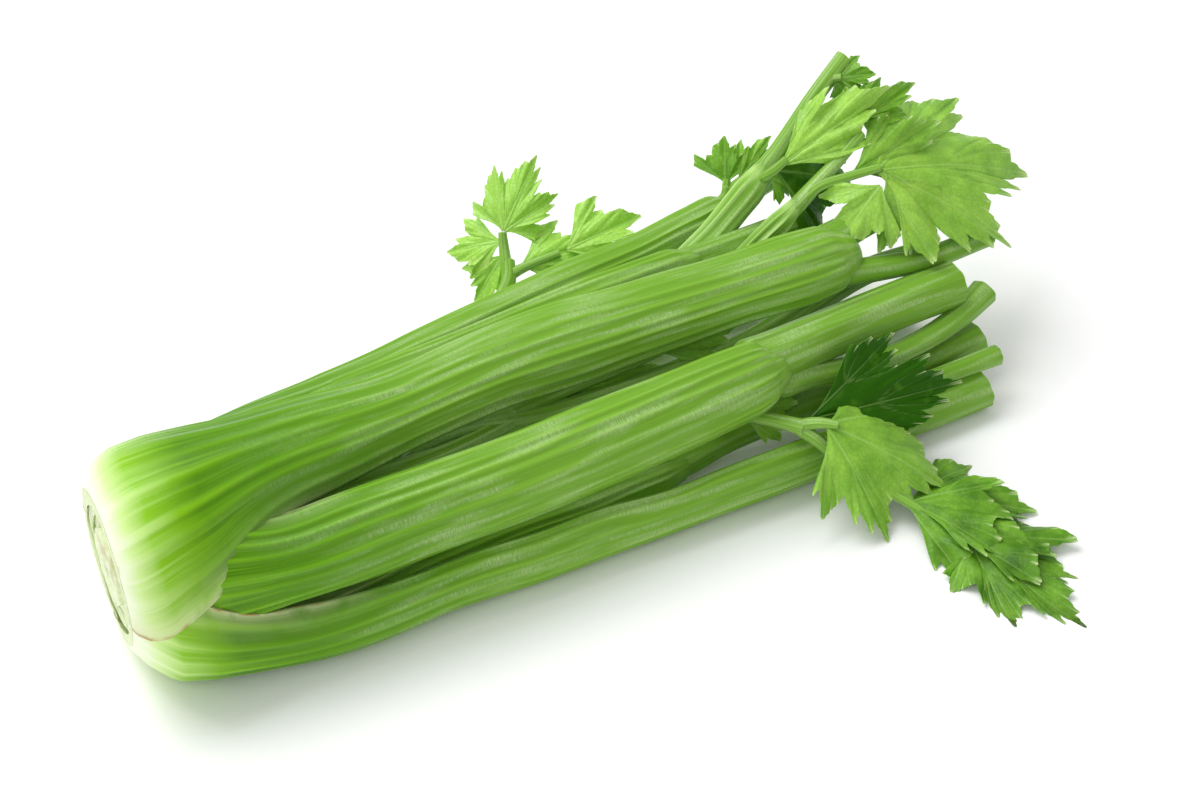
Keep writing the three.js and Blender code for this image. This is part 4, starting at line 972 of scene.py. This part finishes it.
def stalk_part(rings, marks, grain, n, order):
    """A stalk's closed mesh from its rings: a strip at its far end and a cut face of its own at the root."""
    total = len(rings[0])
    body = len(rings) * total
    # The cut face is drawn on points of its own, a little inside the first ring: rows of n points from its
    # back to its front, and then its two edges.
    first, middle = rings[0], rings[0].mean(0)
    back, front = first[:n], first[n + EDGE_POINTS : 2 * n + EDGE_POINTS][::-1]
    rng = np.random.default_rng(SEED + order)
    rows = []
    for share in np.linspace(0, 1, CUT_ROWS):
        sunk = CUT_SINK * np.sin(np.pi * share) * (CUT_ROUGH[0] + CUT_ROUGH[1] * rng.random(n))
        rows.append(back + (front - back) * share + np.column_stack([sunk, 0 * sunk, 0 * sunk]))
    cut_points = np.vstack([*rows, first[n : n + EDGE_POINTS], first[2 * n + EDGE_POINTS :]])
    near_edge = CUT_ROWS * n + np.arange(EDGE_POINTS)
    far_edge = near_edge + EDGE_POINTS
    far = np.arange(CUT_ROWS) * n
    near = far[::-1] + n - 1
    cut_faces = grid_faces(CUT_ROWS, n).tolist() + [[*near, *near_edge], [*far, *far_edge]]
    # A seam of quads joins the first ring to the same points of the cut face.
    ring = np.arange(total)
    own = body + np.concatenate([np.arange(n), near_edge, (CUT_ROWS - 1) * n + np.arange(n)[::-1], far_edge])
    seam = np.column_stack([ring, own, np.roll(own, -1), np.roll(ring, -1)]).tolist()
    faces = tube_faces(len(rings), total) + strip_cap(n, total, body - total)
    faces += [[body + int(i) for i in face] for face in cut_faces] + seam
    cut_marks = np.tile([0, 0, 0, 1.0], (len(cut_points), 1))
    cut_points = cut_points + (middle - cut_points) * CUT_INSET - [CUT_OUT, 0, 0]
    cut_grain = np.column_stack([cut_points[:, 1:], np.full(len(cut_points), order)])
    points, marks, grain = (
        np.vstack([*own, of_cut])
        for own, of_cut in [(rings, cut_points), (marks, cut_marks), (grain, cut_grain)]
    )
    return points, marks, grain, faces


def stem_part(rows, sides, rng, order, flute=STEM_FLUTE, cut=True):
    """A stem's part: closed, its far end cut or closed flat."""
    rings = stem_rings(rows, sides, rng, flute)
    if not cut:
        rings = rings[: -len(CUT_RINGS)]
    points, faces = closed_tube(rings)
    angle = full_circle(sides)
    length = np.linalg.norm(np.diff([r.mean(0) for r in rings], axis=0), axis=1)
    along = rows[0][0] + np.concatenate([[0], length.cumsum()])
    around = np.tile(angle * rows[0][3], len(rings))
    grain = np.column_stack([around, np.repeat(along, sides), np.full(len(points), order)])
    marks = np.zeros((len(points), 4))
    marks[:, 0] = np.tile(STEM_CREST * (0.5 + 0.5 * np.cos(STEM_LINES * angle)), len(rings))
    if cut:
        marks[-(len(CUT_RINGS) - 1) * sides :, 3] = 1
    return points, marks, grain, faces


def crown_part():
    """The root end: a slightly uneven cut disc and the solid heart that the stalks grow from."""
    rng = np.random.default_rng(SEED)
    angle = full_circle(CROWN_SIDES)
    uneven = 1 + sum(share * np.cos(count * angle + start) for count, share, start in CROWN_LOBES)
    rings = []
    for radius, x in CROWN_PROFILE:
        r = radius * uneven
        bump = CROWN_BUMP * rng.uniform(-1, 1, CROWN_SIDES) if x < CROWN_FACE else 0 * angle
        rings.append(np.column_stack([x + bump, r * np.cos(angle), AXIS_HEIGHT + r * np.sin(angle)]))
    points, faces = closed_tube(rings)
    return points, np.zeros((len(points), 4)), points, faces


class CelerySizes(bpy.types.PropertyGroup):
    """The sizes that a user would change."""

    rib_height: bpy.props.FloatProperty(
        name="Rib height", description="How far a stalk's ribs stand up", default=0.0009, unit="LENGTH"
    )
    blade: bpy.props.FloatProperty(
        name="Leaf thickness", description="Thickness of a leaf's blade", default=0.0006, unit="LENGTH"
    )
    ripple: bpy.props.FloatProperty(
        name="Leaf ripple", description="How far a leaf's rim waves", default=0.0026, unit="LENGTH"
    )
    stem_sides: bpy.props.IntProperty(
        name="Stem sides", description="Sides of a cut stem's round section", default=44, min=12, max=96
    )


def colour_property(name, description, code):
    return bpy.props.FloatVectorProperty(
        name=name, description=description, default=linear(code), size=4, subtype="COLOR", min=0, max=1
    )


class CeleryLooks(bpy.types.PropertyGroup):
    """The colours that a user would change."""

    root: colour_property("Root", "Skin near the root", "#F1F8DC")
    pale: colour_property("Pale", "Skin where it begins to green", "#CDEB94")
    young: colour_property("Young", "Skin that is half green", "#86C016")
    fresh: colour_property("Fresh", "Ribs where the skin has just greened", "#6CA816")
    trough: colour_property("Trough", "Green between the ribs", "#4E8404")
    old: colour_property("Old", "Green between the ribs, far from the root", "#74A632")
    crest: colour_property("Crest", "Paler green of the ribs", "#82B438")
    heart_trough: colour_property("Heart trough", "Green between a heart stalk's ribs", "#82BE1A")
    heart_crest: colour_property("Heart crest", "Paler green of a heart stalk's ribs", "#B7E07A")
    # Colour of the whitish flecks on the ribs: partly bloom, partly painted sheen.
    bloom_and_sheen: colour_property("Bloom", "Whitish flecks on the ribs", "#CFE4B0")
    inside: colour_property("Inside", "Hollow side of a stalk", "#A9CF6B")
    margin: colour_property("Margin", "Papery edge of a broad base", "#D3DDA6")
    brown: colour_property("Brown", "Dried edges", "#A87426")
    flesh: colour_property("Flesh", "Cut flesh", "#D3E4A6")
    dark: colour_property("Dark leaf", "Darkest leaf green", "#285B00")
    blade: colour_property("Leaf", "Middle leaf green", "#72A82C")
    light: colour_property("Light leaf", "Young leaf green", "#A0D24C")
    vein: colour_property("Vein", "Veins of a leaf", "#B5DC80")
    underside: colour_property("Underside", "Lower side of a leaf", "#98C878")
    point: colour_property("Tooth point", "Tips of a leaf's teeth", "#E3F2B4")


def add_stalks(context, look, material):
    """Adds the stalks of one look, stalk or heart as their names begin, each with its cut stems."""
    sizes = context.scene.celery_sizes
    shaped = shaped_stalks(sizes)
    for order, spec in enumerate(STALKS, 1):
        name = spec["name"]
        if name.startswith(look):
            rng = np.random.default_rng(SEED * order)
            parts = [stalk_part(*shaped[name], order)]
            parts += [stem_part(rows, sizes.stem_sides, rng, order) for rows in spec["stems"]]
            add_piece(f"{name}_flesh", parts, material, [name])


class CELERY_OT_crown(bpy.types.Operator):
    """Add the cut root end"""

    bl_idname = "celery.crown"
    bl_label = "Root End"

    def execute(self, context):
        material = cut_crown("celery_crown_cut", context.scene.celery_looks)
        add_piece("crown_flesh", [crown_part()], material, ["crown"])
        return {"FINISHED"}


class CELERY_OT_stalks(bpy.types.Operator):
    """Add the ribbed outer stalks with their cut stems"""

    bl_idname = "celery.stalks"
    bl_label = "Stalks"

    def execute(self, context):
        looks = context.scene.celery_looks
        add_stalks(context, "stalk", stalk_flesh("celery_stalk_waxy", looks, looks.trough, looks.crest))
        return {"FINISHED"}


class CELERY_OT_hearts(bpy.types.Operator):
    """Add the slim stalks of the heart"""

    bl_idname = "celery.hearts"
    bl_label = "Heart Stalks"

    def execute(self, context):
        looks = context.scene.celery_looks
        material = stalk_flesh("celery_heart_waxy", looks, looks.heart_trough, looks.heart_crest)
        add_stalks(context, "heart", material)
        return {"FINISHED"}


class CELERY_OT_leaves(bpy.types.Operator):
    """Add the sprays of toothed leaves"""

    bl_idname = "celery.leaves"
    bl_label = "Leaves"

    def execute(self, context):
        sizes, looks = context.scene.celery_sizes, context.scene.celery_looks
        material = leaf_blade("celery_leaf_blade", looks)
        twig = stalk_flesh("celery_leaf_stem", looks, looks.heart_trough, looks.heart_crest)
        for order, spec in enumerate(SPRAYS, 1):
            name = spec["name"]
            rng = np.random.default_rng(SEED + 100 * order)
            blades = [leaflet_part(Leaflet(*row), rng, sizes) for row in spec["leaflets"]]
            add_piece(f"{name}_blades", blades, material, [name])
            stems = [stem_part(rows, TWIG_SIDES, rng, order, TWIG_FLUTE, False) for rows in spec["stems"]]
            add_piece(f"{name}_stems", stems, twig, [])
        return {"FINISHED"}


def add_aimed(name, data, place, way):
    """Adds a lamp or a camera at a place in metres, looking along way."""
    thing = bpy.data.objects.new(name, data)
    thing.location = place
    thing.rotation_mode = "QUATERNION"
    thing.rotation_quaternion = way.to_track_quat("-Z", "Y")
    bpy.context.scene.collection.objects.link(thing)
    return thing


class CELERY_OT_stage(bpy.types.Operator):
    """Add the pale floor, soft studio lights and the camera"""

    bl_idname = "celery.stage"
    bl_label = "Studio"

    def execute(self, context):
        scene = context.scene
        bpy.ops.mesh.primitive_plane_add(size=FLOOR_SIZE)
        floor = context.object
        floor.name = "studio_floor"
        floor.data.materials.append(studio_paper("studio_paper_matt", "#FFFFFF"))
        for name, place, size, power in LAMPS:
            data = bpy.data.lights.new(name, "AREA")
            data.shape = "RECTANGLE"
            data.size, data.size_y = size
            data.energy = power
            add_aimed(name, data, place, Vector(LAMP_AIM) - Vector(place))
        world = bpy.data.worlds.new("studio_light")
        world.use_nodes = True
        tree = world.node_tree
        set_inputs(tree, tree.nodes["Background"], {"Color": "#FFFFFF", "Strength": WORLD_STRENGTH})
        scene.world = world
        scene.view_settings.view_transform = "Standard"
        azimuth, elevation = math.radians(CAMERA_AZIMUTH), math.radians(CAMERA_ELEVATION)
        level = math.cos(elevation)
        back = Vector((math.sin(azimuth) * level, -math.cos(azimuth) * level, math.sin(elevation)))
        target = Vector((np.array(CAMERA_TARGET) + SHIFT) * MM)
        view = bpy.data.cameras.new("camera")
        view.angle = math.radians(CAMERA_WIDTH)
        scene.camera = add_aimed("camera", view, target + back * CAMERA_DISTANCE * MM, -back)
        return {"FINISHED"}


class CELERY_PT_panel(bpy.types.Panel):
    """Sizes, colours and steps of the celery head"""

    bl_idname = "CELERY_PT_panel"
    bl_label = "Celery Head"
    bl_space_type = "VIEW_3D"
    bl_region_type = "UI"
    bl_category = "Celery"

    def draw(self, context):
        for group in (context.scene.celery_sizes, context.scene.celery_looks):
            box = self.layout.box()
            for name in group.__annotations__:
                box.prop(group, name)
        for step in STEPS:
            self.layout.operator(step.bl_idname)


STEPS = (CELERY_OT_stage, CELERY_OT_crown, CELERY_OT_stalks, CELERY_OT_hearts, CELERY_OT_leaves)
CLASSES = (CelerySizes, CeleryLooks, *STEPS, CELERY_PT_panel)


def register():
    for cls in CLASSES:
        bpy.utils.register_class(cls)
    bpy.types.Scene.celery_sizes = bpy.props.PointerProperty(type=CelerySizes)
    bpy.types.Scene.celery_looks = bpy.props.PointerProperty(type=CeleryLooks)


def unregister():
    del bpy.types.Scene.celery_looks
    del bpy.types.Scene.celery_sizes
    for cls in reversed(CLASSES):
        bpy.utils.unregister_class(cls)


def main():
    register()
    bpy.ops.celery.stage()
    bpy.ops.celery.crown()
    bpy.ops.celery.stalks()
    bpy.ops.celery.hearts()
    bpy.ops.celery.leaves()
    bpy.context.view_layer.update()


if __name__ == "__main__":
    main()
